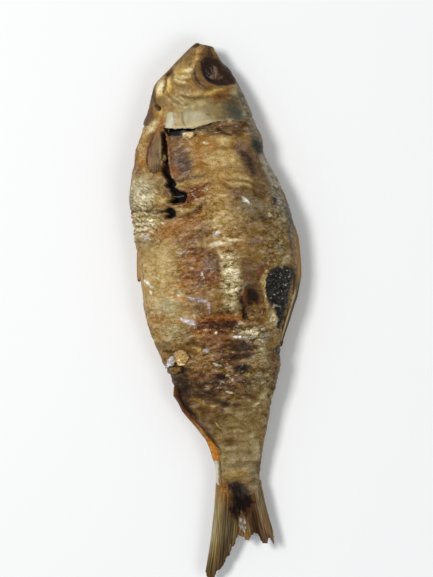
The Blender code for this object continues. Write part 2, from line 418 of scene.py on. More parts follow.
BARE_FLESH = (
    (24.7, 16.4), (22, 15), (20.4, 13.4), (18.9, 10.6), (18.4, 7), (19, 3), (20.6, 0.6),
    (22.4, -1), (22.2, -3.6), (23.2, -5.2), (22, -8.8), (23.4, -9.4), (25.2, -5.6), (27, -0.8),
    (28.4, 4.6), (29.4, 9.6), (30.6, 12), (29.4, 15), (27.4, 16.2), (26.2, 14.8),
)
SCORCH = (
    (-4.4, -70.6), (-1, -70.2), (2.2, -70.8), (3.8, -73.2), (5.8, -76.4), (6.8, -79.6), (4.8, -82.4),
    (3.2, -85.4), (1.2, -83), (-0.8, -86.6), (-3.2, -84.6), (-4.2, -81.4), (-2.6, -78.4), (-2.8, -74.6),
)
DARK_NICK = ((20, -17.2), (22.3, -15.5), (23.4, -17), (22.8, -22), (21.2, -19.4))

# How the places above sink: outline, depth, how far outside and inside the outline the edge slopes,
# and the roughness and size of its tatters.
TATTERS = (0.35, 0.9)
SUNKEN = (
    (BELLY_TEAR, 5.0, -0.25, 0.7, TATTERS),
    (LOWER_TEAR, 3.6, -0.25, 0.6, TATTERS),
    (GILL_GAP, 3.4, -0.2, 0.5, TATTERS),
    (FLANK_HOLLOW, 2.8, -1.0, 2.4, (0.8, 1.5)),
    (BARE_FLESH, 0.7, -0.2, 0.5, TATTERS),
    (DARK_NICK, 1.2, -0.2, 0.6, TATTERS),
)


def ragged(x, y, outline, roughness=TATTERS[0], size=TATTERS[1], seed=40):
    """How deep each place is inside an outline whose edge is torn."""
    jitter = roughness * cloudy(x / size, y / size, seed, 2)
    return depth_inside(x, y, outline) + jitter


def wrinkle_noise(around, along):
    """The crinkles across the skin: broad pleats, soft pillows between creases, and grain."""
    drift_around = around + 1.8 * noise(around / 5, along / 5, 3)
    drift_along = along + 1.1 * cloudy(around / 5, along / 4, 4, 2)
    pleats = noise(drift_around / 7, drift_along / 2.2, 5)
    pillows = np.abs(noise(drift_around / 4.4, drift_along / 1.35, 6)) ** 0.8
    grain = cloudy(drift_around / 2.4, drift_along / 0.85, 7, 2)
    return pleats, pillows, grain


def scale_noise(around, along):
    """The edges of overlapping scales, 0 in a scale's middle and 1 at its edge."""
    wobble = 0.6 * noise(around / 2.5, along / 2.5, 8)
    row = np.sin(math.pi * (around + wobble) / 1.9 + math.pi * (along + wobble) / 1.7)
    other = np.sin(math.pi * (around + wobble) / 1.9 - math.pi * (along - wobble) / 1.7)
    return 1 - np.abs(row * other) ** 0.5


# How strongly the trunk's skin is crumpled: middle, length, width, turn, strength.
CRUMPLED = (
    (2, 62, 44, 30, 0, 0.55),
    (15, 40, 26, 24, 0, 0.7),
    (-24, 14, 28, 44, 0, 0.5),
    (-27, 38, 18, 18, 0, 0.9),
    (-7, 42, 26, 24, 15, 1),
    (-8, 18, 20, 26, 0, 0.8),
    (4.6, 13, 11, 26, 0, 1.1),
    (0, -8, 40, 18, 0, 1.2),
    (0, -25, 44, 30, 0, 1.15),
    (2, -46, 34, 18, 0, 0.7),
    (2, -66, 34, 28, 0, 0.4),
    (27, 28, 9, 54, 0, 0.8),
)


def crumpling(x, y):
    """How strongly the skin is crumpled at each place."""
    strength = np.full(np.shape(x), 0.7)
    for spot in CRUMPLED:
        share = ease(1.5, 0.4, oval(x, y, spot))
        strength = strength * (1 - share) + spot[5] * share
    return strength


def head_relief(x, y, around, flank):
    """How far the head's skin stands out from the plain form. Flank is 0 along the head's ridges."""
    total = 0.25 * cloudy(around / 6, y / 6, 21) + 0.06 * noise(around / 1.1, y / 1.1, 22)
    for form in HEAD_FORMS:
        total += form[5] * blob(x, y, form)
    total -= 2.2 * flank * ease(-1.4, 2.6, depth_inside(x, y, EYE_SOCKET))
    ring = distance_to_line(x, y, rounded(EYE_RING))
    total += 0.6 * bell(ring, 0.9) - 0.2 * bell(ring - 1.7, 0.6)
    fan = ease(91, 88, y) * ease(83, 85, y) * ease(-6, -9, x)
    total += 0.12 * fan * np.sin((x + 0.75 * y) * 3.3)
    seam = distance_to_line(x, y, ((-10.6, 89.3), (-5.0, 88.3), (0.0, 87.9), (5.0, 87.3)))
    return total - 0.2 * bell(seam, 0.7)


def trunk_relief(x, y, around, along, shown):
    """How far the trunk's skin stands out from the plain form. Shown is 1 on the upper flank."""
    pleats, pillows, grain = wrinkle_noise(around, along)
    fine = noise(around / 0.9, along / 0.5, 62)
    total = 0.35 * cloudy(around / 12, along / 10, 9)
    total += crumpling(x, y) * (0.32 * pleats + 0.42 * (pillows - 0.4) + 0.16 * grain + 0.05 * fine)
    belly = ease(-17, -24, x) * ease(58, 52, y) * ease(40, 46, y)
    total -= 0.12 * belly * scale_noise(around, along)
    folds = ease(-20, -25, x) * ease(47, 44, y) * ease(27, 31, y)
    total += 0.3 * folds * np.sin(along * 2.9 + 1.4 * noise(around / 4, along / 3, 10))
    features = np.zeros_like(total)
    for form in TRUNK_FORMS:
        features += form[5] * blob(x, y, form)
    for outline, depth, outer, inner, tatters in SUNKEN:
        features -= depth * ease(outer, inner, ragged(x, y, outline, *tatters))
    lip = ragged(x, y, BELLY_TEAR)
    features += 0.5 * bell(lip + 0.9, 0.6)
    return total + shown * features


# ---- Painting ----


DARKEST = 0.003  # no part of a colour falls below this


class Paint:
    """Colours for the points of a mesh, laid on in layers at places on the fish."""

    def __init__(self, x, y, base, warp=0.6, wisp=None):
        self.x = x + warp * cloudy(x / 3.4, y / 3.4, 31) + 0.2 * noise(x / 0.9, y / 0.9, 33)
        self.y = y + warp * 0.7 * cloudy(x / 3.4, y / 3.4, 35) + 0.15 * noise(x / 0.9, y / 0.9, 37)
        self.wisp = 0.4 * noise(x / 1.4, y / 1, 39) if wisp is None else wisp
        self.colour = np.tile(colour(base), (len(x), 1))
        self.gloss = np.full(len(x), 0.5)
        self.crumple = np.full(len(x), 0.5)
        self.flakes = np.zeros(len(x))
        self.glints = np.zeros(len(x))

    def lay(self, name, share):
        """Mixes a named colour in, by a share at each point."""
        share = np.clip(share + np.zeros(len(self.x)), 0, 1)[:, None]
        self.colour = self.colour * (1 - share) + np.array(colour(name)) * share

    def spots(self, spots):
        """Lays oval spots with soft, broken edges: middle, length, width, turn, colour, share."""
        for spot in spots:
            far = oval(self.x, self.y, spot) + 0.55 * self.wisp
            self.lay(spot[5], spot[6] * ease(1.45, 0.4, far))

    def lines(self, lines):
        """Lays soft strokes that thin out towards their ends: points, width, colour, share."""
        for points, width, name, share in lines:
            distance, along = nearest_on_line(self.x, self.y, rounded(points))
            half = width * (0.2 + 0.45 * np.sin(math.pi * np.clip(along, 0.02, 0.98)) ** 0.5)
            self.lay(name, share * bell(distance, half) * (1 + 0.6 * self.wisp))

    def shade(self, change):
        """Lightens (above 0) or darkens: half in the colour itself and half in plain grey, as light does."""
        change = np.clip(change, -0.9, 1.5)[:, None]
        grey = self.colour.mean(axis=1, keepdims=True) * np.array((1.0, 0.96, 0.88))
        self.colour = np.clip(self.colour * (1 + 0.5 * change) + 0.5 * change * grey, DARKEST, 1)


def colour(name):
    """A named colour of the fish, as the user has it set."""
    return np.array(getattr(bpy.context.scene.smoked_fish, name))


# Painted spots: middle, length, width, turn, colour, share.
HEAD_SPOTS = (
    # jaws and snout
    (-7, 103.6, 16, 6.4, 42, "tan", 0.8),
    (-11.4, 100, 9, 2.4, 44, "umber", 0.7),
    (-4.4, 105.6, 7, 2, 46, "khaki", 0.6),
    (-5.4, 102.8, 6, 1.6, 56, "olive", 0.6),
    (-2.4, 103.6, 9, 2, 66, "pale_gold", 0.6),
    (-0.8, 109.3, 4.4, 1.7, 20, "dark_brown", 0.95),
    (3.6, 108.4, 3.8, 1.8, -20, "dark_brown", 0.9),
    (1.7, 105.4, 6.8, 3.6, 80, "orange_brown", 0.6),
    (1.9, 105.2, 7, 3.4, 80, "umber", 0.8),
    (4.8, 105.4, 8, 3.4, 103, "dark_brown", 0.9),
    (3, 102.6, 5, 3, 0, "eye_brown", 0.8),
    (6.8, 104.8, 6.4, 1.3, -58, "tan", 0.9),
    # cheek, with a painted yellow-cream highlight
    (-6.6, 97, 14, 9, -10, "pale_gold", 0.8),
    (-5.6, 98.7, 8, 3, 8, "yellow", 0.5),
    (-4.7, 99, 5.4, 1.7, 8, "cream", 0.9),
    (-4.7, 99.1, 4.2, 1.2, 8, "shine", 0.8),
    (-9, 95.6, 4.4, 2.2, -40, "cream", 0.6),
    (-4, 94.4, 6.4, 5, -10, "tan", 0.85),
    (-3.4, 91.6, 9, 3.2, -20, "tan", 0.8),
    (-9, 91.4, 9, 3.2, -10, "khaki", 0.5),
    (-12.9, 98.6, 5.4, 2.6, 38, "red_brown", 0.85),
    (-13.3, 98.5, 3, 1.3, 38, "eye_brown", 0.8),
    (-11.5, 97.4, 2.4, 3.2, 0, "mauve", 0.6),
    # pale patches over the gill arch, with a painted white highlight
    (-17.1, 92.8, 8.4, 4.4, 72, "yellow", 0.9),
    (-17.2, 92.9, 7.6, 3.8, 74, "cream", 0.9),
    (-17, 93.2, 5.4, 2.4, 74, "shine", 0.75),
    (-17.3, 92.6, 7, 3.4, 74, "yellow", 0.28),
    (-13.5, 94, 6.6, 2.2, 78, "yellow", 0.9),
    (-13.6, 94.8, 3.8, 1.2, 80, "cream", 0.9),
    (-21, 89.6, 11, 3, 80, "dark_brown", 0.85),
    # between the cheek's fan and the gill cover
    (-17, 87.6, 7, 4.6, 0, "khaki", 0.75),
    (-13, 86.4, 12, 4, -8, "tan", 0.5),
    (-9, 86.1, 4, 2, -30, "umber", 0.5),
    (-4, 86.2, 18, 5, 0, "khaki", 0.95),
    (-1, 84.8, 18, 3.6, 0, "sage", 0.6),
    (-6, 81, 19, 7, 0, "sage", 0.9),
    (7.4, 81.4, 11, 8, 0, "olive", 0.8),
    (7.4, 84.6, 12, 5, 0, "olive", 0.85),
    # below and behind the eye
    (7, 87.6, 10, 3.8, 6, "orange_brown", 0.8),
    (7.6, 87.2, 8, 2.8, 0, "umber", 0.85),
    (12.5, 88.8, 3, 3, -60, "sage", 0.85),
    (12.6, 88.6, 1.4, 1.2, 0, "blue_white", 0.6),
    (16.2, 87, 14, 4.4, -70, "nape_grey", 0.85),
    (13.6, 84, 9, 9, 0, "slate", 0.75),
    (15.4, 87, 5, 1.6, -60, "slate", 0.5),
    (18, 80, 15, 6, -74, "nape_grey", 0.9),
    # throat
    (-20.6, 82.6, 8, 5, 70, "tan", 0.9),
    (-23.4, 80.8, 9.4, 3.2, 68, "dark_brown", 0.85),
    (-22.8, 82.6, 7, 1.8, 66, "red_brown", 0.5),
    (-21.4, 87.4, 5.6, 1.6, 72, "mauve", 0.6),
    (-23.6, 79.6, 6, 3, 66, "mauve", 0.5),
    (-18.6, 81.4, 5.4, 2.2, 75, "gold", 0.8),
    (-18, 82.8, 2.4, 1.2, 75, "yellow", 0.5),
    (-21.4, 77.6, 5.4, 3.4, 50, "cream", 0.85),
    (-17.8, 78.6, 5, 1.8, 80, "orange_brown", 0.85),
    # Painted shade: near-black in the small notch at the throat.
    (-18.9, 85.1, 3, 1.7, -50, "near_black", 0.9),
)
# How much of its red, green and blue light the head keeps under the smoke's stain.
HEAD_SMOKING = (0.9, 0.87, 0.75)
HEAD_LINES = (
    (EYE_RING, 3.4, "umber", 0.65),
    (EYE_RING, 1.2, "orange_brown", 0.5),
    (((-2.2, 100.8), (-2.7, 98.4), (-2.5, 95.8), (-1.2, 93.4), (0.9, 91.3), (3.4, 90)), 1.6, "umber", 0.9),
    (((-2.6, 97.8), (-2.4, 95.4), (-1, 92.8)), 1, "eye_brown", 0.7),
    (((-9.6, 99.6), (-6.8, 100.7), (-3.6, 100.5)), 0.8, "gold", 0.6),
    (((-9.4, 98), (-6.6, 97.3), (-3.4, 97.6)), 0.7, "tan", 0.7),
    (((-11, 96.8), (-9.7, 95), (-6.9, 94)), 1.2, "cream", 0.65),
    (((-10.2, 97.6), (-8, 96.3), (-5.4, 96.2)), 0.8, "cream", 0.5),
    (((-10.4, 96.2), (-8.6, 95.2), (-6, 95)), 0.6, "tan", 0.7),
    (((-11.8, 95), (-9.8, 93.4), (-6.6, 92.7)), 1.1, "olive", 0.6),
    (((-9, 89.7), (-3, 88.9), (2, 89.1), (7.6, 90.2)), 1.4, "pale_gold", 0.55),
    (((0.4, 88.8), (4, 89.1), (7.8, 90)), 0.8, "yellow", 0.55),
    (((-10.8, 89), (-5, 87.9), (0, 87.5), (5, 87.3)), 1.2, "olive", 0.7),
    (((-14.9, 97), (-15.1, 94.2), (-16, 90.6)), 0.9, "umber", 0.8),
    (((-12.1, 96.6), (-12, 93.4), (-12.8, 90.6)), 0.8, "orange_brown", 0.7),
    (((-15.8, 89.6), (-13, 86.8), (-11.2, 84.9)), 0.9, "cream", 0.35),
    (((-13, 89.6), (-10.4, 87.6), (-8.2, 85.4)), 1, "cream", 0.45),
    (((-11.2, 89.4), (-9.2, 87.8), (-7.4, 86.2)), 0.9, "cream", 0.45),
    (((-14.4, 89.6), (-12, 87), (-10.2, 84.9)), 0.8, "olive", 0.5),
    (((-12.2, 89.6), (-9.8, 87.7), (-8, 86)), 0.6, "umber", 0.45),
    (((-17.6, 88.8), (-15.2, 85.8)), 0.8, "olive", 0.6),
    (((4.8, 109), (8, 103.4), (12.6, 96.4)), 1, "umber", 0.7),
    # Painted shade along the head's belly-side edge, where its surface turns away from the light.
    (((-1, 110), (-8.6, 104.4), (-15.6, 98.4), (-19.4, 94.4), (-21, 90)), 2.4, "dark_brown", 0.5),
    (((-1.4, 107.6), (-2.4, 104.6), (-4.6, 101.2)), 0.8, "umber", 0.5),
    (((-20.8, 90), (-19.9, 87.6), (-18.9, 85.2)), 1, "dark_brown", 0.8),
)

TRUNK_BASE = (
    (2, 60, 40, 34, 0, "gold", 0.95),
    (0, 40, 30, 30, 0, "gold", 0.8),
    (18, 57, 9, 30, 8, "umber", 0.8),
    (18, 34, 20, 46, 0, "olive", 0.85),
    (13, 26, 16, 32, 0, "tan", 0.5),
    (-22, 14, 24, 38, 0, "pale_gold", 0.9),
    (-23, -2, 14, 26, 0, "gold", 0.8),
    (-6, 16, 22, 26, 0, "tan", 0.8),
    (13, 13, 16, 12, 0, "umber", 0.7),
    (-4, -10, 28, 14, 0, "umber", 0.75),
    (-4, -11, 18, 9, 0, "orange_brown", 0.35),
    (6, -20, 26, 14, 0, "umber", 0.85),
    (-10, -20, 16, 12, 0, "tan", 0.7),
    (-6, -32, 28, 18, 0, "umber", 0.95),
    (-8, -32, 22, 10, 0, "dark_brown", 0.4),
    (14, -28, 16, 32, 0, "khaki", 0.9),
    (14, -30, 12, 30, 0, "sage", 0.15),
    (2, -46, 34, 22, 0, "khaki", 0.9),
    (-8, -43, 14, 12, -40, "umber", 0.6),
    (2, -64, 26, 20, 0, "khaki", 0.95),
    (-1, -61, 16, 14, 0, "sage", 0.4),
    (10, -62, 4, 24, 4, "olive", 0.6),
    (28, 42, 44, 7, -72, "nape_grey", 0.9),
    (26.4, 37, 9, 12, 0, "pale_grey", 0.3),
    (30, 12, 5, 12, 0, "umber", 0.5),
    (27, 24, 8, 30, 0, "khaki", 0.6),
    (21, -26, 52, 6, -72, "umber", 0.4),
)
# Many of the small shine, lilac and cream spots here are painted highlights: glints on the wet skin's ridges.
TRUNK_SPOTS = (
    # nape, back and shoulder
    (18.8, 73.6, 18, 5, -73, "nape_grey", 0.9),
    (24.2, 56, 18, 4, -68, "pale_grey", 0.9),
    (20.4, 65.8, 7.4, 4.6, -75, "slate", 0.95),
    (20.8, 65.6, 5.4, 3, -75, "near_black", 0.6),
    (8, 73.6, 20, 6, 0, "mauve", 0.6),
    (14.4, 74.6, 5.4, 5, 0, "umber", 0.8),
    (12.4, 71.4, 5.4, 3.6, 0, "dark_brown", 0.6),
    (-12.6, 71.6, 6.4, 2.6, 0, "mauve", 0.9),
    (-11.8, 62, 10, 16, 0, "mauve", 0.95),
    (-10, 61, 8, 8, 20, "plum", 0.5),
    (-14.4, 58.4, 3.8, 4.4, 30, "russet", 0.8),
    (-10.2, 57.6, 5.4, 3, 10, "umber", 0.5),
    (-1, 70.8, 7, 2.6, -8, "orange_brown", 0.6),
    (-0.5, 68.4, 1.8, 1.4, 0, "cream", 0.9),
    (2, 67, 5, 3.6, 0, "orange_brown", 0.7),
    (-4.4, 67, 4.4, 5.4, 0, "orange_brown", 0.55),
    (-3.2, 61.6, 4.4, 9, 0, "orange_brown", 0.5),
    (6.6, 69, 5.6, 5.4, 0, "pale_gold", 0.8),
    (9, 61.6, 11, 6.4, 0, "pale_gold", 0.75),
    (2.2, 62, 8, 5.4, 0, "pale_gold", 0.7),
    (12.4, 65.4, 6, 5, -50, "mauve", 0.8),
    (21.8, 53, 10, 2.4, -74, "umber", 0.5),
    (19.4, 46.8, 5.6, 5, -60, "umber", 0.8),
    (10.4, 47, 8, 4, -8, "mauve", 0.75),
    (15, 40.6, 18, 9, -10, "nape_grey", 0.5),
    (4.8, 46.6, 4, 2.8, 0, "pale_gold", 0.7),
    (13.6, 44, 3.8, 1, -55, "shine", 1),
    (27.4, 43, 9, 4.4, -65, "pale_grey", 0.6),
    (25.2, 42.8, 2.4, 3.2, 0, "slate", 0.85),
    (30.8, 36.6, 12, 2.8, -70, "slate", 0.65),
    (23, 37.4, 2.4, 1.2, -60, "cream", 0.8),
    (20.4, 36.4, 6, 2.6, 0, "dark_brown", 0.6),
    (14.6, 35.6, 6.4, 1.8, 0, "umber", 0.7),
    (5, 52.6, 5.4, 2.6, 0, "orange_brown", 0.6),
    (4, 38, 18, 9, 0, "pale_gold", 0.5),
    (-1, 42, 6, 8, 20, "gold", 0.6),
    # red folds by the tear
    (-7, 48.4, 15, 6, 20, "russet", 0.75),
    (-13.2, 52.8, 3.4, 1.8, 0, "sage", 0.7),
    (-6, 48.6, 8.4, 3, 20, "red_brown", 0.55),
    (-7.5, 47.8, 1.7, 1, -60, "shine", 1),
    (-2, 49.7, 3.2, 1, 34, "cream", 0.8),
    (-14.4, 42.9, 3.4, 1.2, 15, "cream", 0.7),
    (-7, 36.8, 11, 3, 20, "russet", 0.7),
    (-5, 32.6, 9, 4.6, 40, "mauve", 0.55),
    # throat, fin base and belly
    (-27, 66, 15, 5.6, 82, "orange_brown", 0.6),
    (-27, 67, 11, 4, 80, "pale_gold", 0.6),
    (-27.6, 63, 5, 3, 70, "orange", 0.4),
    (-25.4, 74.6, 7, 4, 66, "pale_gold", 0.7),
    (-22.4, 77.4, 5, 3.8, 50, "cream", 0.85),
    (-18.4, 77.6, 5, 2.6, 80, "orange_brown", 0.85),
    (-25, 59, 5, 4, 0, "gold", 0.7),
    (-29.6, 60.6, 5, 3, 60, "mauve", 0.6),
    (-28.2, 50, 12, 17, 0, "sage", 0.95),
    (-28.8, 50.6, 11, 13, 0, "blue_white", 0.35),
    (-33.2, 47, 8, 2.6, 88, "pale_grey", 0.7),
    (-21, 47.4, 8, 3.6, -20, "pale_gold", 0.7),
    (-20.6, 53.4, 7, 6.4, 0, "khaki", 0.7),
    (-17.6, 50, 3.4, 3.6, 0, "mauve", 0.8),
    (-28, 37, 12, 16, 0, "sage", 0.85),
    (-28, 37.6, 12, 12, 0, "cream", 0.75),
    (-29.4, 40, 8, 2, -4, "cream", 0.6),
    (-29, 36, 7, 1.2, -4, "cream", 0.6),
    (-26, 37.4, 1.2, 1.2, 0, "near_black", 0.8),
    (-22.2, 37.6, 6, 1.2, 0, "cream", 0.7),
    (-20, 34, 17, 5.6, 4, "orange_brown", 0.6),
    (-16, 36.6, 9, 2.6, 6, "orange_brown", 0.7),
    (-13, 32.8, 8, 3, 10, "russet", 0.45),
    (-11.4, 30, 11, 2.4, 10, "red_brown", 0.75),
    (-28.4, 32.4, 3.4, 1.2, -16, "lilac", 0.9),
    (-12.7, 27.6, 1.2, 0.7, 20, "near_black", 0.85),
    (-13.8, 25.2, 4, 0.9, 8, "shine", 0.9),
    (-13.4, 23, 5.4, 3.8, 0, "khaki", 0.7),
    # orange mottling and the brown oval in the middle
    (-11, 17, 12, 17, 0, "orange_brown", 0.65),
    (-8.4, 25, 10, 2.4, -5, "red_brown", 0.75),
    (-9.6, 22.4, 7, 2, 0, "orange_brown", 0.6),
    (-8.8, 16.4, 7, 1.8, -5, "red_brown", 0.9),
    (-13, 14.4, 6, 1.8, 10, "red_brown", 0.6),
    (-16.6, 12, 6, 1.4, -5, "orange", 0.6),
    (-2.8, 18, 6.6, 14, -8, "mauve", 0.85),
    (-2.8, 13, 6, 6, 0, "russet", 0.75),
    (0.1, 18.2, 5.4, 1.4, 86, "umber", 0.8),
    (-7.8, 12, 5.6, 4, 20, "mauve", 0.6),
    (-11.2, 18.2, 1.8, 1, 80, "shine", 0.9),
    (-6.4, 15.7, 1.4, 1.1, 80, "shine", 1),
    (-8.6, 8.6, 4, 1.6, 0, "orange_brown", 0.7),
    # bright ridge with its painted highlights, and the flaky band
    (1, 27.1, 9, 2, 0, "cream", 0.95),
    (0.4, 27.4, 4, 1.1, 0, "shine", 0.7),
    (6.9, 28.6, 7.4, 1.3, -12, "cream", 0.95),
    (0.1, 31.2, 2.8, 1.8, 20, "shine", 0.8),
    (2, 34.2, 3.6, 1.4, 0, "cream", 0.8),
    (5.8, 25.8, 12, 2.8, 2, "orange_brown", 0.6),
    (2, 23.2, 4.4, 1.9, -60, "cream", 0.95),
    (3.8, 19.8, 4, 1.4, -45, "cream", 0.9),
    (5, 10.6, 8.4, 27, -2, "sage", 0.9),
    (4.8, 13, 7.4, 23, -2, "cream", 0.42),
    (16.4, 27.4, 6, 2.6, 0, "mauve", 0.7),
    (11, 18.4, 5, 3.4, 0, "mauve", 0.5),
    (13.4, 21.6, 1.6, 0.6, -10, "near_black", 0.8),
    # right of the band, round the hollow and the bare flesh
    (17, 14.4, 5.6, 3, 80, "red_brown", 0.9),
    (19, 17, 3, 2.6, 0, "umber", 0.7),
    (12.2, 13.6, 5, 3, 0, "umber", 0.6),
    (8.9, 4.6, 7, 1.6, 86, "red_brown", 0.6),
    (28, 18.4, 4.4, 2.6, 50, "sage", 0.7),
    (26, 24, 6, 2.6, -60, "nape_grey", 0.6),
    (30.4, 26, 16, 1.8, -86, "slate", 0.6),
    (29.8, 12.4, 4, 8, 0, "dark_brown", 0.9),
    (20.4, -5, 5, 7, -10, "sage", 0.75),
    (21.4, -11, 3, 5, 0, "khaki", 0.6),
    # belly below the fin
    (-22, 3.4, 11, 9, 0, "sage", 0.85),
    (-22, -6, 10, 7, 0, "sage", 0.4),
    (-25.6, -0.6, 8, 2.6, 0, "orange_brown", 0.65),
    (-16.8, 7, 6.4, 1.4, -14, "orange", 0.85),
    (-16.6, 9.4, 2.4, 1, -60, "cream", 0.9),
    (-17, 7.8, 1.2, 1, 0, "shine", 0.9),
    (-29.4, 2.4, 4.4, 2.4, 0, "olive", 0.7),
    (-28.6, 1.8, 2, 0.8, 0, "cream", 0.8),
    (-29, 13.6, 4.4, 1.2, -50, "shine", 0.85),
    (-28.2, 9.6, 2.4, 1, -60, "shine", 0.7),
    (-31, 12, 4, 1.2, -60, "orange", 0.6),
    (-9.4, 1.6, 7, 4, 0, "umber", 0.55),
    (-5.4, 1.2, 3.6, 1.2, 86, "lilac", 0.85),
    (1, 1.4, 7, 3, 4, "umber", 0.4),
    # the crease over the vent
    (-1, -3.4, 22, 5.6, -2, "orange_brown", 0.85),
    (-2.6, -5.3, 18, 4, -1, "red_brown", 0.95),
    (-0.6, -5.6, 13, 2.4, 2, "dark_brown", 0.85),
    (-1, -0.9, 15, 1.8, 4, "umber", 0.8),
    (6, -3, 5, 2.6, 10, "orange_brown", 0.7),
    (5.6, -7, 6.4, 2.4, -10, "umber", 0.8),
    (8.2, -5.6, 2.6, 1, -30, "cream", 0.7),
    (-9.4, -8.4, 7, 3.6, 0, "orange", 0.5),
    (-9, -9, 2, 1, 0, "cream", 0.7),
    (-11.2, -1.2, 2.4, 0.9, 80, "cream", 0.8),
    (-2.6, -11, 9, 5.4, 0, "red_brown", 0.5),
    (-3.4, -8.8, 1.4, 1, 0, "cream", 0.9),
    (12.4, -10.6, 14, 6.4, -10, "pale_grey", 0.75),
    (11.6, -9.6, 11, 3.4, -14, "cream", 0.8),
    (10.4, -9, 2.6, 0.9, -14, "shine", 0.8),
    (15, -14, 6, 3, -40, "sage", 0.6),
    (16.6, -10.4, 5, 2, -10, "dark_brown", 0.6),
    (15, -12.2, 4.4, 1, 0, "slate", 0.6),
    (6.6, -11.2, 4.6, 0.7, -6, "shine", 1),
    # dark patches behind the vent
    (7.4, -15.4, 12, 3.4, -3, "dark_brown", 0.95),
    (7, -15.6, 4.6, 1.1, 0, "slate", 0.7),
    (7, -19, 11, 2.4, 0, "dark_brown", 0.9),
    (6.4, -23.8, 8, 3.4, -8, "plum", 0.98),
    (6.2, -24, 5, 2, -8, "near_black", 0.7),
    (-3, -26.8, 5.4, 2.8, 0, "plum", 0.9),
    (-6.6, -28.6, 6, 2, 0, "dark_brown", 0.85),
    (5.2, -28.4, 8, 3.4, 0, "mauve", 0.6),
    (7.4, -29.4, 6, 1.8, 0, "dark_brown", 0.75),
    (-1.6, -24.2, 6, 1.8, 0, "gold", 0.7),
    (9, -26.8, 4, 1.8, 0, "pale_gold", 0.7),
    (12, -22, 5, 2.6, -20, "tan", 0.6),
    (-3.6, -19, 6, 2, -5, "red_brown", 0.95),
    (-3, -15.8, 5, 1.6, 0, "red_brown", 0.8),
    (-19.4, -7.6, 10, 7, 0, "sage", 0.5),
    (-9.4, -19.4, 12, 9, 0, "tan", 0.8),
    (-24, -12, 9, 3.2, 5, "olive", 0.75),
    # Painted shadow under the fat and the curled scrap at the vent.
    (-18, -22.4, 7, 4.6, 0, "dark_brown", 0.8),
    (-7.8, -15.4, 2, 1.8, 0, "lilac", 0.95),
    (-10.4, -15.2, 2.2, 1.2, 0, "yellow", 0.65),
    (-19.6, -30.2, 15, 7.4, -74, "plum", 0.88),
    (-13, -30, 9, 7, 0, "umber", 0.5),
    (-7.6, -32, 12, 3, -5, "dark_brown", 0.55),
    (-10, -26, 12, 2, 3, "red_brown", 0.5),
    (-6, -36.4, 9, 2.2, -10, "dark_brown", 0.6),
    (-1.6, -38.4, 4, 2.4, 0, "dark_brown", 0.98),
    (2.8, -38.6, 3.4, 2, 0, "dark_brown", 0.85),
    (14.4, -18.6, 4.4, 5, 0, "sage", 0.85),
    (19, -21.4, 5, 3, -20, "umber", 0.65),
    (13.2, -34, 5, 10, 0, "sage", 0.7),
    (18.4, -31.6, 4, 9, -20, "umber", 0.85),
    (16, -25, 6, 3.4, 0, "umber", 0.8),
    (9.4, -35, 5, 3.4, 0, "umber", 0.75),
    (-17, -38.4, 11, 3.4, -54, "dark_brown", 0.9),
    (-16.8, -27.6, 11, 3.6, -80, "near_black", 0.5),
    (10.8, -39.3, 3.2, 1.1, 20, "cream", 0.95),
    (0.6, -33.6, 3.6, 0.7, -14, "cream", 0.7),
    (18.8, -27, 6, 4, -70, "mauve", 0.6),
    (14, -29, 11, 15, 0, "khaki", 0.6),
    (13.6, -30, 7, 6, 0, "nape_grey", 0.5),
    # towards the tail
    (-11, -46.4, 9, 2.6, -52, "mauve", 0.6),
    (-5.2, -46.8, 3.4, 0.8, -50, "cream", 0.7),
    (-0.8, -54, 7, 3, 0, "umber", 0.7),
    (1, -63.2, 10, 2.8, 0, "umber", 0.45),
    (7.6, -52.6, 4, 4.4, 0, "sage", 0.6),
    (0, -67.4, 9, 3, 0, "gold", 0.45),
    (2, -58.6, 10, 2.6, 0, "umber", 0.4),
    (1, -66.4, 12, 2.6, 0, "pale_gold", 0.25),
    (9, -57, 4, 10, 0, "sage", 0.75),
    (8, -68, 4, 9, 0, "nape_grey", 0.5),
    (7.4, -73.4, 5, 7, 0, "nape_grey", 0.6),
    (-5.4, -73, 4.4, 8, 0, "orange_brown", 0.85),
)
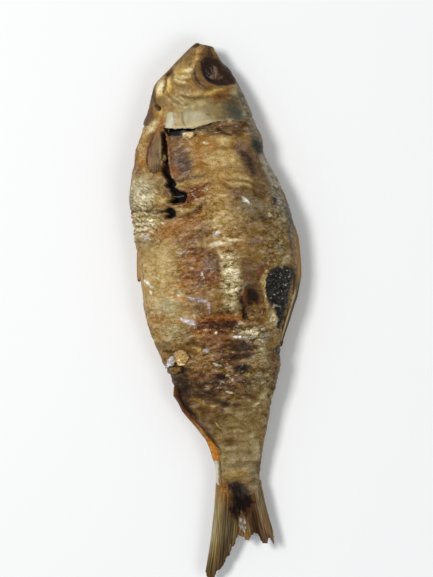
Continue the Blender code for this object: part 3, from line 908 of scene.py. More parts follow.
TRUNK_LINES = (
    # Painted shade in the groove behind the gill cover.
    (((-2, 74.6), (5, 75.6), (12, 75)), 3.6, "umber", 0.55),
    (((-15.2, 73), (-15.4, 66), (-15.2, 59)), 1.2, "red_brown", 0.7),
    (((4.6, 73.8), (7, 72.4), (9.6, 71.2)), 1.5, "dark_brown", 0.95),
    # Painted shadow of the gill cover along its rear edge.
    (((-8.6, 75.2), (-4.6, 74.6), (-1, 75.6), (3, 76.8)), 1.4, "near_black", 0.85),
    (((12.6, 65.4), (15, 61.6), (17, 58), (18, 54)), 5, "mauve", 0.8),
    (((13.8, 63.6), (16.4, 60), (18, 55)), 4, "dark_brown", 0.9),
    (((4, 54.8), (9, 53.8), (14, 53.4), (17.8, 51)), 1.4, "pale_gold", 0.8),
    (((7, 51.4), (12, 51), (16.6, 49.4)), 1.2, "pale_gold", 0.6),
    (((7, 53), (11, 52.5), (16.4, 51)), 1, "umber", 0.5),
    (((6, 49.6), (12, 48.9), (17, 47.8)), 1, "umber", 0.6),
    (((-13.4, 54.2), (-9, 54.8), (-4, 55.2), (-1, 56)), 1.3, "umber", 0.8),
    (((-12.6, 52.6), (-8, 52.3), (-2, 53.2)), 1.8, "gold", 0.85),
    (((-10.4, 50.8), (-5, 50.6), (-0.6, 52.2)), 0.9, "red_brown", 0.9),
    (((-12, 47), (-8, 46.2), (-3, 47.4)), 0.8, "red_brown", 0.7),
    (((-15.6, 44.6), (-12, 44.3), (-9, 45.4), (-6, 47)), 1.3, "russet", 0.8),
    (((-11, 43.3), (-8.6, 43.9), (-6.4, 45.2)), 1, "red_brown", 0.95),
    (((-16, 40.8), (-10, 43), (-3.4, 46.2)), 1.6, "gold", 0.8),
    (((-14, 39.2), (-8, 41), (-2.6, 44.4)), 1.3, "umber", 0.85),
    (((-13, 37.6), (-8, 39.2), (-3.6, 42.4)), 1.2, "russet", 0.8),
    (((-33.4, 43.8), (-28, 43.4), (-22, 43)), 0.8, "umber", 0.85),
    (((-33, 41), (-27, 41.3), (-21, 42)), 0.7, "umber", 0.8),
    (((-32.8, 39), (-28, 38.7), (-24.6, 38.4)), 0.7, "dark_brown", 0.7),
    (((-32.8, 37), (-28.4, 37.1), (-25.6, 36.6)), 0.7, "umber", 0.8),
    (((-32.6, 34.4), (-29, 34.8), (-27, 34.4)), 0.7, "mauve", 0.8),
    (((-32.4, 31), (-29, 30.6), (-26, 30.9)), 0.7, "mauve", 0.6),
    # Painted highlights: two lilac glints on ridges of the belly side.
    (((-13.2, 6.9), (-11.6, 5.9), (-9, 5.1), (-6.6, 4.6), (-5.2, 3.6)), 0.9, "lilac", 0.95),
    (((-16.8, -1.5), (-14.8, -2.5), (-12.4, -4), (-10.8, -4.9)), 1.3, "lilac", 0.95),
    (((19.6, 15), (18.4, 12.4), (17.4, 9.2), (17.8, 6), (18.6, 2), (18, -1)), 1.1, "pale_gold", 0.8),
    (((-25.4, -14.6), (-22, -15), (-18.4, -14.2)), 0.9, "near_black", 0.85),
    # Painted highlight: a glint on the lower flank.
    (((-4.8, -21), (-3.8, -22.1), (-2, -22.4)), 0.6, "shine", 0.9),
    (((0, -26.4), (1.2, -27.4), (2.6, -28)), 0.5, "cream", 0.9),
    (((-15.4, -34.8), (-12.4, -36), (-10, -37.4), (-6.6, -38.4)), 1.2, "gold", 0.9),
    (((-14, -35.4), (-10.6, -37)), 0.6, "pale_gold", 0.8),
    (((-18.2, -37), (-15.6, -41.6), (-12, -47), (-8.6, -52), (-6, -56)), 1.7, "dark_brown", 0.8),
)
HOLLOW_LINES = (
    (((8.2, 9), (7.9, 5), (8.6, 1), (9.5, -4)), 1.5, "near_black", 0.8),
    (((9.6, 7.6), (10, 4.6), (10.8, 1.6)), 1.8, "russet", 0.6),
    (((9, 9.6), (11.6, 9.4), (14, 8.6)), 1.4, "nape_grey", 0.6),
    (((14.4, 8), (16.4, 5.8), (16.9, 2.6)), 1.2, "olive", 0.8),
    (((11, 0.2), (13.6, -0.6), (16.6, 0.4)), 0.9, "khaki", 0.8),
    (((10.4, -2.6), (12.6, -3.4), (15.4, -2.4)), 0.9, "near_black", 0.7),
)

# Where the skin is flaky, where it gets painted glints (white highlights) and where its pits get painted
# shade: middle, length, width, turn, share.
FLAKY = (
    (4.8, 12, 9, 30, 0, 1),
    (2, 1, 10, 5, 0, 0.7),
    (1, 32, 20, 7, 0, 0.5),
    (11, -10, 20, 9, -6, 1),
    (-4, -7, 22, 8, 0, 1),
    (-8, 16, 16, 26, 0, 0.55),
    (0, -24, 40, 24, 0, 0.6),
    (-28, 40, 14, 20, 0, 0.7),
    (-7, 46, 16, 14, 20, 0.5),
    (14, 40, 24, 22, 0, 0.3),
    (24, 28, 10, 50, -6, 0.9),
    (18, 74, 9, 10, 0, 0.5),
)
GLINTS = (
    (4.8, 13, 9, 26, 0, 0.7),
    (10, -10, 20, 9, -6, 0.7),
    (-4, -7, 20, 8, 0, 0.45),
    (-10, 18, 18, 24, 0, 0.38),
    (1, -25, 34, 18, 0, 0.36),
    (-6, 47, 16, 12, 20, 0.3),
    (-21, 6, 20, 22, 0, 0.25),
    (4, 74, 26, 4, 0, 0.4),
    (4, 33, 22, 8, 0, 0.2),
)
PAINTED_PIT_SHADE = (
    (-2, -4, 30, 9, -3, 0.9),
    (0, -24, 42, 24, 0, 0.75),
    (-4, -36, 26, 10, -10, 0.5),
    (-6, 40, 22, 26, 20, 0.55),
    (-27, 38, 14, 14, 0, 0.6),
    (-8, 18, 18, 24, 0, 0.35),
    (13, 10, 14, 20, 0, 0.5),
    (19, 52, 10, 30, -15, 0.4),
    (4, 73, 30, 4, 0, 0.8),
    (3, 12, 10, 24, 0, 0.25),
)


def paint_scorch(paint, x, y):
    """The dark, scorched skin where the tail's rays begin. Gives its share at each point."""
    depth = ragged(x, y, SCORCH, 1.0, 1.4, 44) + 0.6 * noise(x / 0.7, y / 2.6, 46)
    paint.lay("umber", 0.5 * ease(-2.2, -0.3, depth))
    paint.lay("red_brown", 0.25 * ease(-1.2, 0.2, depth) * ease(-76, -80, y))
    paint.lay("dark_brown", 0.85 * ease(-0.9, 1, depth))
    paint.lay("near_black", 0.9 * ease(0, 1.7, depth))
    paint.lay("slate", 0.8 * blob(x, y, (3.2, -73.8, 4.6, 2.8, -60)))
    paint.lay("red_brown", 0.2 * ease(0.2, 0.7, noise(x / 0.8, y / 3, 47)) * ease(-1, 0.5, depth))
    return ease(-0.9, 0.6, depth)


def fleck_share(paint, table):
    """How strongly the places listed in a table reach each point."""
    share = np.zeros(len(paint.x))
    for spot in table:
        share = np.maximum(share, spot[5] * ease(1.45, 0.4, oval(paint.x, paint.y, spot)))
    return share


def paint_head(x, y, around, flank):
    """The head's colours, the same on both flanks. Flank is 0 along the head's ridges."""
    paint = Paint(x, y, "gold", warp=0.35)
    paint.lay("tan", 0.4 + 0.3 * cloudy(around / 4, y / 4, 51))
    paint.lay("sage", ease(10, 14, x) * 0.5)
    socket = depth_inside(x, y, EYE_SOCKET) + 0.4 * paint.wisp
    paint.lay("umber", 0.6 * ease(-2, 0, socket) * ease(92, 95, y))
    paint.spots(HEAD_SPOTS)
    paint.lines(HEAD_LINES)
    paint.lay("eye_brown", ease(-0.5, 0.5, socket))
    ridge = (1 - flank) * ease(86, 90, y) * ease(-1, 2, x)
    paint.lay("umber", 0.8 * ridge)
    paint.lay("olive", 0.5 * ridge * ease(-0.3, 0.5, paint.wisp * 2))
    mottle = cloudy(around / 2.2, y / 1.6, 58, 2)
    paint.lay("dark_brown", 0.6 * ease(13, 16, x) * ease(92, 86, y) * ease(0, 0.6, mottle))
    paint.lay("pale_grey", 0.6 * ease(13, 16, x) * ease(0, -0.6, mottle))
    paint.shade(0.4 * cloudy(around / 2.4, y / 2, 53, 2) + 0.1 * noise(around / 0.6, y / 0.6, 55))
    paint.colour = paint.colour * np.array(HEAD_SMOKING)
    # Painted shade: near-black on the head's rear end, which shows in the gill gap.
    paint.lay("near_black", ease(76.9, 76, y) * ease(21, 17, x))
    paint.gloss = 0.5 + 0.25 * cloudy(x / 2, y / 2, 57)
    paint.crumple = 0.12 + 0.6 * ease(13, 17, x)
    return paint


def paint_trunk(x, y, around, along, shown):
    """The trunk's colours. The hidden flank has the broad colours and the painted shade of the wrinkles only.
    """
    pleats, pillows, grain = wrinkle_noise(around, along)
    fine = noise(around / 0.9, along / 0.5, 62)
    crumple = crumpling(x, y)
    wisp = 0.5 * cloudy(around / 3.2, along / 1.4, 61, 2)
    paint = Paint(x, y, "tan", warp=0.8, wisp=wisp)
    paint.spots(TRUNK_BASE)
    blotches = cloudy(around / 4.6, along / 2.6, 67, 2)
    upper = ease(-24, -14, x)
    paint.lay("umber", 0.45 * ease(0.1, 0.75, blotches) * (0.3 + 0.7 * upper))
    paint.lay("pale_gold", 0.4 * ease(-0.1, -0.75, blotches) * ease(-30, -10, y))
    warm = cloudy(around / 3.4, along / 2.4, 69, 2)
    paint.lay("orange_brown", 0.5 * ease(0.1, 0.7, warm) * ease(-45, -15, y) * ease(16, 4, x))
    low = ease(1.4, 0.5, oval(paint.x, paint.y, (-1.0, -24.0, 44.0, 36.0, 0)))
    streaks = cloudy(around / 5, along / 2, 70, 2) + 0.4 * noise(around / 2.4, along / 0.9, 71)
    paint.lay("dark_brown", 0.65 * low * ease(0.05, 0.4, streaks) * ease(18, 8, x))
    paint.lay("tan", 0.6 * low * ease(-0.1, -0.45, streaks))
    plain = paint.colour.copy()
    paint.spots(TRUNK_SPOTS)
    paint.lines(TRUNK_LINES)
    hidden = (1 - shown)[:, None]
    paint.colour = paint.colour * (1 - hidden) + plain * hidden
    # Painted light and shade of the wrinkles: the pleats, pillows and grain that raise the skin also lighten
    # and darken its colour. Blotches, the belly's scales and noise add tone of their own.
    painted_shade_and_tone = crumple * (0.28 * pleats + 0.34 * (pillows - 0.42) + 0.24 * grain) + 0.3 * wisp
    painted_shade_and_tone += 0.65 * blotches * ease(-16, -38, y) + 0.4 * blotches * ease(8, 16, x)
    belly = ease(-17, -24, x) * ease(58, 52, y) * ease(28, 40, y)
    scales = 0.3 * (0.5 - scale_noise(around, along))
    painted_shade_and_tone += belly * (scales + 0.75 * noise((x + y) / 0.9, (x - y) / 3.4, 72))
    low_belly = ease(-12, -19, x) * ease(32, 26, y) * ease(-14, -8, y)
    painted_shade_and_tone += 0.4 * low_belly * noise(around / 1.7, along / 0.7, 74)
    paint.lay("sage", 0.6 * low_belly * ease(0, 0.6, cloudy(around / 3, along / 1.6, 76, 2)))
    paint.shade(painted_shade_and_tone)
    mottled = shown * blob(x, y, (-9.0, 14.0, 18.0, 34.0, 0))
    paint.lay("mauve", 0.5 * mottled * ease(0.1, 0.5, warm - blotches))
    paint.lay("red_brown", 0.45 * mottled * ease(0.2, 0.7, blotches + 0.5 * warm))
    # Painted shade: dark brown in the creases between the pillows, and in the pits where the grain sinks.
    paint.lay("dark_brown", crumple * 0.5 * ease(0.14, 0.02, pillows) * ease(-0.6, 0.4, blotches))
    paint.lay("dark_brown", fleck_share(paint, PAINTED_PIT_SHADE) * ease(-0.25, -0.7, grain + 0.3 * fine))
    paint.crumple = crumple
    paint.flakes = fleck_share(paint, FLAKY) * shown
    paint.glints = fleck_share(paint, GLINTS) * shown
    flesh = ragged(x, y, BARE_FLESH)
    paint.lay("slate", shown * ease(-0.6, 0.3, flesh))
    paint.lay("near_black", shown * 0.42 * ease(-0.2, 0.8, flesh))
    specks = ease(0.3, 1.1, noise(x / 0.7, y / 0.6, 65) + 0.8 * noise(x / 1.9, y / 1.9, 66))
    paint.lay("pale_grey", shown * specks * 0.4 * ease(-0.2, 0.5, flesh))
    # Painted glints: none at the bare flesh's edge, and sparse ones of their own over the flesh.
    paint.glints = paint.glints * (1 - shown * ease(-0.6, 0.3, flesh)) + 0.5 * shown * ease(0, 0.8, flesh)
    # The flank's hollow is painted darker towards its deepest part: partly the dark flesh inside it, partly
    # painted shade.
    hollow = ragged(x, y, FLANK_HOLLOW, 0.8, 1.5)
    sunk = hollow + 0.5 * grain
    paint.lay("umber", shown * 0.55 * ease(-2.8, 0.4, sunk))
    paint.lay("red_brown", shown * 0.5 * ease(-0.8, 0.6, sunk))
    paint.lay("eye_brown", shown * 0.75 * ease(-0.3, 1.8, sunk))
    torn = ease(-0.5, 0.7, sunk - 0.7 + 1.3 * wisp)
    paint.lay("near_black", shown * 0.85 * blob(x, y, (13.2, 3.6, 7.4, 8.2, 20)) * torn)
    under = paint.colour.copy()
    paint.lines(HOLLOW_LINES)
    paint.colour = under + (paint.colour - under) * shown[:, None]
    paint.lay("slate", shown * 0.95 * ease(-0.4, 0.3, ragged(x, y, DARK_NICK)))
    scorched = shown * paint_scorch(paint, x, y)
    paint.gloss = np.clip(0.35 + 0.3 * pleats + 0.3 * (pillows - 0.3) + 0.4 * grain, 0, 1)
    dull = np.maximum(scorched, shown * ease(-0.6, 0.6, hollow))
    # Round each opening: a painted highlight along its torn rim, painted shade from just outside its edge
    # inwards, and near-black painted shade deeper in, except on the reddish-brown walls.
    for outline in (BELLY_TEAR, LOWER_TEAR, GILL_GAP):
        depth = ragged(x, y, outline)
        paint.lay("cream", shown * 0.35 * bell(depth + 0.4, 0.3) * ease(-0.2, 0.3, wisp))
        paint.lay("eye_brown", shown * ease(-0.6, 0.1, depth))
        walls = 0.9 * blob(x, y, (-17.2, 67.0, 5.0, 17.0, 0)) * ease(-0.5, 0.3, blotches + wisp + 0.3)
        paint.lay("near_black", shown * ease(0, 0.5, depth) * (1 - walls))
        paint.lay("red_brown", shown * 0.6 * ease(1.4, 0.3, depth) * ease(-0.4, 0.1, depth) * walls)
        dull = np.maximum(dull, shown * ease(-0.8, -0.2, depth))
    for layer in (paint.gloss, paint.crumple, paint.flakes, paint.glints):
        layer *= 1 - dull
    return paint


# ---- Shaders ----


class Value:
    """A socket that takes part in plain arithmetic, each step of which adds a Math node."""

    def __init__(self, tree, socket):
        self.tree = tree
        self.socket = socket

    def math(self, operation, first, second):
        node = self.tree.nodes.new("ShaderNodeMath")
        node.operation = operation
        for slot, given in zip(node.inputs, (first, second)):
            if isinstance(given, Value):
                self.tree.links.new(given.socket, slot)
            else:
                slot.default_value = given
        return Value(self.tree, node.outputs[0])

    def __add__(self, other):
        return self.math("ADD", self, other)

    def __radd__(self, other):
        return self.math("ADD", other, self)

    def __sub__(self, other):
        return self.math("SUBTRACT", self, other)

    def __rsub__(self, other):
        return self.math("SUBTRACT", other, self)

    def __mul__(self, other):
        return self.math("MULTIPLY", self, other)

    def __rmul__(self, other):
        return self.math("MULTIPLY", other, self)

    def clipped(self):
        """The value held between 0 and 1."""
        return self.math("MINIMUM", self.math("MAXIMUM", self, 0.0), 1.0)


class Finish:
    """A material whose nodes are added one by one."""

    def __init__(self, name, **uniform):
        self.material = bpy.data.materials.new(name)
        self.material.use_nodes = True
        self.tree = self.material.node_tree
        self.shader = self.tree.nodes["Principled BSDF"]
        for socket, value in uniform.items():
            self.shader.inputs[socket.replace("_", " ")].default_value = value

    def node(self, kind, settings=None, inputs=None):
        """Adds a node of this type: its settings first, then the values or links of its sockets."""
        node = self.tree.nodes.new(kind)
        for name, value in (settings or {}).items():
            setattr(node, name, value)
        for name, given in (inputs or {}).items():
            if isinstance(given, Value):
                self.tree.links.new(given.socket, node.inputs[name])
            else:
                node.inputs[name].default_value = given
        return node

    def value(self, node, output):
        return Value(self.tree, node.outputs[output])

    def attribute(self, name, output="Fac"):
        return self.value(self.node("ShaderNodeAttribute", {"attribute_name": name}), output)

    def place(self, scale):
        """The point on the piece, stretched by a scale for each axis."""
        spot = self.value(self.node("ShaderNodeTexCoord"), "Object")
        mapping = self.node("ShaderNodeMapping", inputs={"Vector": spot, "Scale": scale})
        return self.value(mapping, "Vector")

    def noise(self, scale, detail=2.0, stretch=(1, 1, 1), roughness=0.5, output="Fac"):
        """Noise whose features are 1/scale of a metre."""
        inputs = {"Vector": self.place(stretch), "Scale": scale, "Detail": detail, "Roughness": roughness}
        return self.value(self.node("ShaderNodeTexNoise", inputs=inputs), output)

    def cells(self, scale, stretch, bend):
        """Uneven cells about 1/scale of a metre wide: how far their middles are, and a chance value."""
        inputs = {0: self.noise(scale, 2.0, output="Color"), 1: (bend / scale,) * 3, 2: self.place(stretch)}
        bent = self.vector_math("MULTIPLY_ADD", inputs)
        cells = self.node("ShaderNodeTexVoronoi", inputs={"Vector": bent, "Scale": scale})
        return self.value(cells, "Distance"), self.value(cells, "Color")

    def mix(self, share, first, second):
        """A mix of two colours, each a socket or four numbers."""
        node = self.node("ShaderNodeMix", {"data_type": "RGBA"})
        colours = [slot for slot in node.inputs if slot.type == "RGBA"]
        for slot, given in zip([node.inputs[0], *colours], (share, first, second)):
            if isinstance(given, Value):
                self.tree.links.new(given.socket, slot)
            else:
                slot.default_value = given
        output = next(socket for socket in node.outputs if socket.type == "RGBA")
        return Value(self.tree, output)

    def vector_math(self, operation, inputs):
        return self.value(self.node("ShaderNodeVectorMath", {"operation": operation}, inputs), 0)

    def shaded(self, change):
        """The painted tint lightened or darkened, half in the tint itself and half in plain grey."""
        tint = self.attribute("tint", "Color")
        grey = self.attribute("tint") * change * 0.5
        scaled = self.vector_math("SCALE", {0: tint, "Scale": 1.0 + change * 0.5})
        lit = self.vector_math("ADD", {0: scaled, 1: grey})
        return self.vector_math("MAXIMUM", {0: lit, 1: (DARKEST,) * 3})

    def creases(self, noise, sharpness):
        """Thin lines where a noise crosses its middle: 1 on the line, falling to 0 beside it."""
        off = noise - 0.5
        return (1.0 - off.math("ABSOLUTE", off, 0.0) * sharpness).clipped()

    def feed(self, socket, value):
        self.tree.links.new(value.socket, self.shader.inputs[socket])

    def bump(self, height, distance, strength=1.0):
        inputs = {"Height": height, "Distance": distance, "Strength": strength}
        self.feed("Normal", self.value(self.node("ShaderNodeBump", inputs=inputs), "Normal"))


def skin_finish(name, bump_depth, oil):
    """Smoked skin: its tint with the painted light and shade of creases and crumpled flakes, and painted
    glints, under a thin film of oil.
    """
    finish = Finish(name, IOR=1.45, Specular_IOR_Level=0.2, Coat_Roughness=0.2, Coat_IOR=1.4)
    crumple, flaky = finish.attribute("crumple"), finish.attribute("flakes")
    folds = finish.noise(230, 4.0, (0.5, 1, 0.7), 0.6)
    wrinkles = finish.noise(640, 3.0, (0.65, 1, 0.8), 0.6)
    specks = finish.noise(2400, 2.0)
    deep, fine = finish.creases(folds, 42.0) * crumple, finish.creases(wrinkles, 16.0) * crumple
    far, chance = finish.cells(760, (0.65, 1, 0.8), 1.1)
    flakes = (chance - 0.5) * 1.7 - (far - 0.6) * 1.4
    # Painted light and shade: the folds, wrinkles, specks and flake cells that bump the surface also lighten
    # and darken its colour.
    change = (folds - 0.5) * crumple * 1.5 + (wrinkles - 0.5) * (0.8 + crumple * 0.9)
    change = change + (specks - 0.5) * (1.0 + crumple * 0.6 + flaky * 0.9)
    # Painted shade in the deep creases and the fine wrinkle lines.
    change = change - deep * 0.4 - fine * 0.25 + flakes * (0.12 + flaky * 0.65)
    skin = finish.shaded(change)
    # Painted glints: small dots of the shine colour, where the glints attribute lets them show.
    far, chance = finish.cells(1050, (0.6, 1.1, 0.8), 1.4)
    peaks = (chance - 0.5) * 1.1 - far + (wrinkles - 0.5) * 1.6
    painted_glint_dots = ((peaks * 5.0).clipped() * finish.attribute("glints")).clipped()
    finish.feed("Base Color", finish.mix(painted_glint_dots, skin, (*colour("shine"), 1)))
    gloss = finish.attribute("gloss")
    finish.feed("Roughness", (0.66 - 0.25 * gloss * oil + 0.3 * (specks - 0.5)).clipped())
    finish.feed("Coat Weight", (gloss * gloss * oil).clipped())
    height = (folds - deep * 0.06) * (0.3 + crumple * 0.7) + wrinkles * 0.4 + flakes * (0.05 + flaky * 0.2)
    finish.bump(height + specks * 0.08, bump_depth * MM)
    return finish.material


def plate_finish(name, bump_depth):
    """Thin bone of the gill cover: smooth, faintly lined, with a silky shine."""
    finish = Finish(name, IOR=1.5, Specular_IOR_Level=0.2, Coat_Roughness=0.25, Coat_IOR=1.4, Coat_Weight=0.2)
    lines = finish.noise(700, 3.0, (1, 0.3, 1))
    grain = finish.noise(2400, 2.0)
    change = (lines - 0.5) * 0.2 + (grain - 0.5) * 0.15
    finish.feed("Base Color", finish.shaded(change))
    finish.feed("Roughness", 0.3 + 0.25 * lines)
    finish.bump(lines * 0.6 + grain * 0.4, bump_depth * MM)
    return finish.material


def fin_finish(name):
    """Dried fin: hard rays with papery skin between, dull, with grain along the rays."""
    finish = Finish(name, IOR=1.45, Specular_IOR_Level=0.12)
    fibres = finish.noise(1500, 3.0, (1, 0.12, 1))
    grain = finish.noise(3000, 2.0)
    change = (fibres - 0.55) * 0.8 + (grain - 0.55) * 0.5
    finish.feed("Base Color", finish.shaded(change))
    finish.feed("Roughness", 0.42 + 0.3 * fibres)
    finish.bump(fibres, 0.12 * MM)
    return finish.material


def folded_finish(name, scale, roughness, unevenness, depth, **uniform):
    """Dried, crumpled skin, fat or eye: its folds, 1/scale of a metre wide, vary its tint and its shine."""
    finish = Finish(name, IOR=1.45, Coat_Roughness=0.2, Coat_IOR=1.4, **uniform)
    folds = finish.noise(scale, 3.0)
    finish.feed("Base Color", finish.shaded((folds - 0.5) * 0.8))
    finish.feed("Roughness", roughness + unevenness * folds)
    finish.bump(folds, depth * MM)
    return finish.material


def scrap_finish(name, roughness, scale):
    """A torn scrap of skin, fat or flesh: half shiny."""
    return folded_finish(name, scale, roughness, 0.25, 0.25, Specular_IOR_Level=0.15, Coat_Weight=0.2)


# ---- Making meshes ----


def coordinates(mesh):
    flat = np.empty(len(mesh.vertices) * 3)
    mesh.vertices.foreach_get("co", flat)
    return flat.reshape(-1, 3)


def normals(mesh):
    flat = np.empty(len(mesh.vertices) * 3)
    mesh.vertices.foreach_get("normal", flat)
    return flat.reshape(-1, 3)


def move_points(mesh, points):
    """Puts the mesh's points at these places, in millimetres."""
    mesh.vertices.foreach_set("co", (points * MM).ravel())
    mesh.update()


def colour_mesh(mesh, paint):
    """Stores what is painted on the mesh's points."""
    tint = mesh.color_attributes.new("tint", "FLOAT_COLOR", "POINT")
    rgba = np.concatenate([np.clip(paint.colour, 0, 1), np.ones((len(paint.colour), 1))], axis=1)
    tint.data.foreach_set("color", rgba.ravel())
    for name in ("gloss", "crumple", "flakes", "glints"):
        layer = mesh.attributes.new(name, "FLOAT", "POINT")
        layer.data.foreach_set("value", np.clip(getattr(paint, name), 0, 1.5))


def finished(name, mesh, material):
    """Makes the object, gives it its finish, and lets it stand for the fish's solid."""
    mesh.name = name
    made = bpy.data.objects.new(name, mesh)
    bpy.context.scene.collection.objects.link(made)
    mesh.materials.append(material)
    mesh.shade_smooth()
    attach(made, "root")
    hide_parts(NODE)
    return made


def mesh_from(name, shape):
    mesh = bpy.data.meshes.new(name)
    shape.to_mesh(mesh)
    shape.free()
    return mesh


def body_mesh(name, around, along, start_y, end_y, closeness):
    """A closed skin between two places on Y, with more of its points on the shown flank.

    Gives the mesh, and for each point its Y and its place over (-1 to 1) and up (-1 to 1).
    """
    shape = bmesh.new()
    bmesh.ops.create_cone(shape, cap_ends=False, segments=around, radius1=1, radius2=1, depth=2)
    lengths = [edge for edge in shape.edges if abs(edge.verts[0].co.z - edge.verts[1].co.z) > 1]
    bmesh.ops.subdivide_edges(shape, edges=lengths, cuts=along - 1)
    for end in (1, -1):
        ring = [vertex for vertex in shape.verts if abs(vertex.co.z - end) < 1e-4]
        bmesh.ops.pointmerge(shape, verts=ring, merge_co=(0, 0, end))
    bmesh.ops.recalc_face_normals(shape, faces=shape.faces)
    mesh = mesh_from(name, shape)
    tube = coordinates(mesh)
    down = (1 - tube[:, 2]) / 2
    turn = np.arctan2(tube[:, 1], tube[:, 0])
    turn = turn - CROWDING * np.cos(turn)
    share = (1 - closeness) * down + closeness * (1 - np.cos(down * math.pi)) / 2
    y = start_y + (end_y - start_y) * share
    return mesh, y, np.cos(turn), -np.sin(turn)


def section_points(y, over, up, shrink):
    """Points on the body's section, drawn in by a shrink from 0 to 1 at each place."""
    belly, back, half, spine = profile(y)
    middle, half_width = (belly + back) / 2, (back - belly) / 2
    x = middle + half_width * over * shrink
    z = spine + half * (1 + BACK_FULLNESS * over) * np.sign(up) * np.abs(up) ** FLANK_ROUNDING * shrink
    return np.stack([x, y, z], axis=1)


def rest_on_floor(points):
    """Flattens the underside softly where the fish lies on it."""
    z = points[:, 2]
    points[:, 2] = (z + np.sqrt(z * z + FLOOR_SOFTNESS)) / 2
    return points


def along_line(line, share):
    """The points at these shares of the way along a line, from 0 to 1."""
    line = np.array(line, float)
    steps = np.concatenate([[0], np.cumsum(np.hypot(*np.diff(line, axis=0).T))])
    return np.interp(share * steps[-1], steps, line[:, 0]), np.interp(share * steps[-1], steps, line[:, 1])


def lay_patch(name, start, finish, steps, place, paint, material, thickness, under=False):
    """A thin piece stretched from a start line to a finish line, which run the same way.

    place turns each point's share out (0 at the start, 1 at the finish), its share along the lines,
    and its X and Y, into its X, Y and Z. paint gives its colours from the same. With under, it lies
    on the hidden flank instead, the mirror image through the body's middle.
    """
    shape = bmesh.new()
    bmesh.ops.create_grid(shape, x_segments=steps[0], y_segments=steps[1], size=1)
    mesh = mesh_from(name, shape)
    out, along = (coordinates(mesh)[:, :2].T + 1) / 2
    start_x, start_y = along_line(start, along)
    finish_x, finish_y = along_line(finish, along)
    x = start_x * (1 - out) + finish_x * out
    y = start_y * (1 - out) + finish_y * out
    points = np.stack(np.broadcast_arrays(*place(out, along, x, y)), axis=1)
    if under:
        points[:, 2] = 2 * profile(points[:, 1])[3] - points[:, 2]
        points = rest_on_floor(points)
    move_points(mesh, points)
    colour_mesh(mesh, paint(out, along, points[:, 0], points[:, 1]))
    if (normals(mesh)[:, 2].mean() < 0) != under:
        mesh.flip_normals()
    made = finished(name, mesh, material)
    solid = made.modifiers.new("thickness", "SOLIDIFY")
    solid.thickness = thickness * MM
    solid.offset = -1
    return made


def skin_height(x, y):
    """The height of the shown flank with its folds and hollows."""
    z = flank_height(x, y)
    around, along = skin_frame(x, y, z)
    return z + trunk_relief(x, y, around, along, np.ones_like(x)) * settings().relief


def settings():
    return bpy.context.scene.smoked_fish


# ---- The trunk and the head ----


# How finely each skin is divided, around and along, how much finer towards its ends, and how deep
# its bumps are.
TRUNK_STEPS, TRUNK_CLOSENESS, TRUNK_BUMP = (240, 412), 0.16, 1.7
HEAD_STEPS, HEAD_CLOSENESS, HEAD_BUMP = (250, 200), 0.5, 0.6
# Over what length each skin closes where it tucks in under the other.
CLOSING = 2


def make_trunk():
    mesh, y, over, up = body_mesh("trunk_skin", *TRUNK_STEPS, TRUNK_START_Y, FORM_END_Y, TRUNK_CLOSENESS)
    shrink = 1 - 0.07 * ease(GILL_SEAM_Y - 1.5, GILL_SEAM_Y + 2.5, y)
    shrink *= np.sqrt(np.clip((TRUNK_START_Y - y) / CLOSING, 0, 1))
    points = section_points(y, over, up, shrink)
    move_points(mesh, points)
    x, z = points[:, 0], points[:, 2]
    around, along = skin_frame(x, y, z)
    shown = ease(-0.25, 0.05, up)
    relief = trunk_relief(x, y, around, along, shown) * settings().relief
    half = profile(y)[2]
    relief *= ease(0.2, 3.5, half) * ease(TRUNK_START_Y, TRUNK_START_Y - 4, y)
    move_points(mesh, rest_on_floor(points + normals(mesh) * relief[:, None]))
    colour_mesh(mesh, paint_trunk(x, y, around, along, shown))
    finished("trunk_skin", mesh, skin_finish("trunk_skin", TRUNK_BUMP, settings().oil))


def make_head():
    mesh, y, over, up = body_mesh("head_skin", *HEAD_STEPS, FORM_TOP_Y, HEAD_END_Y, HEAD_CLOSENESS)
    shrink = 1 - 0.35 * ease(GILL_SEAM_Y + 1.0, GILL_SEAM_Y - 3.5, y)
    shrink *= np.sqrt(np.clip((y - HEAD_END_Y) / CLOSING, 0, 1))
    points = section_points(y, over, up, shrink)
    move_points(mesh, points)
    x, z = points[:, 0], points[:, 2]
    around = skin_frame(x, y, z)[0]
    flank = ease(0.1, 0.34, np.abs(up))
    relief = head_relief(x, y, around, flank) * settings().relief
    half = profile(y)[2]
    relief *= ease(0.1, 4.5, half) * (0.25 + 0.75 * np.abs(up)) * ease(HEAD_END_Y, HEAD_END_Y + 4, y)
    move_points(mesh, rest_on_floor(points + normals(mesh) * relief[:, None]))
    colour_mesh(mesh, paint_head(x, y, around, flank))
    finished("head_skin", mesh, skin_finish("head_skin", HEAD_BUMP, settings().oil))


# ---- Gill covers and eyes ----

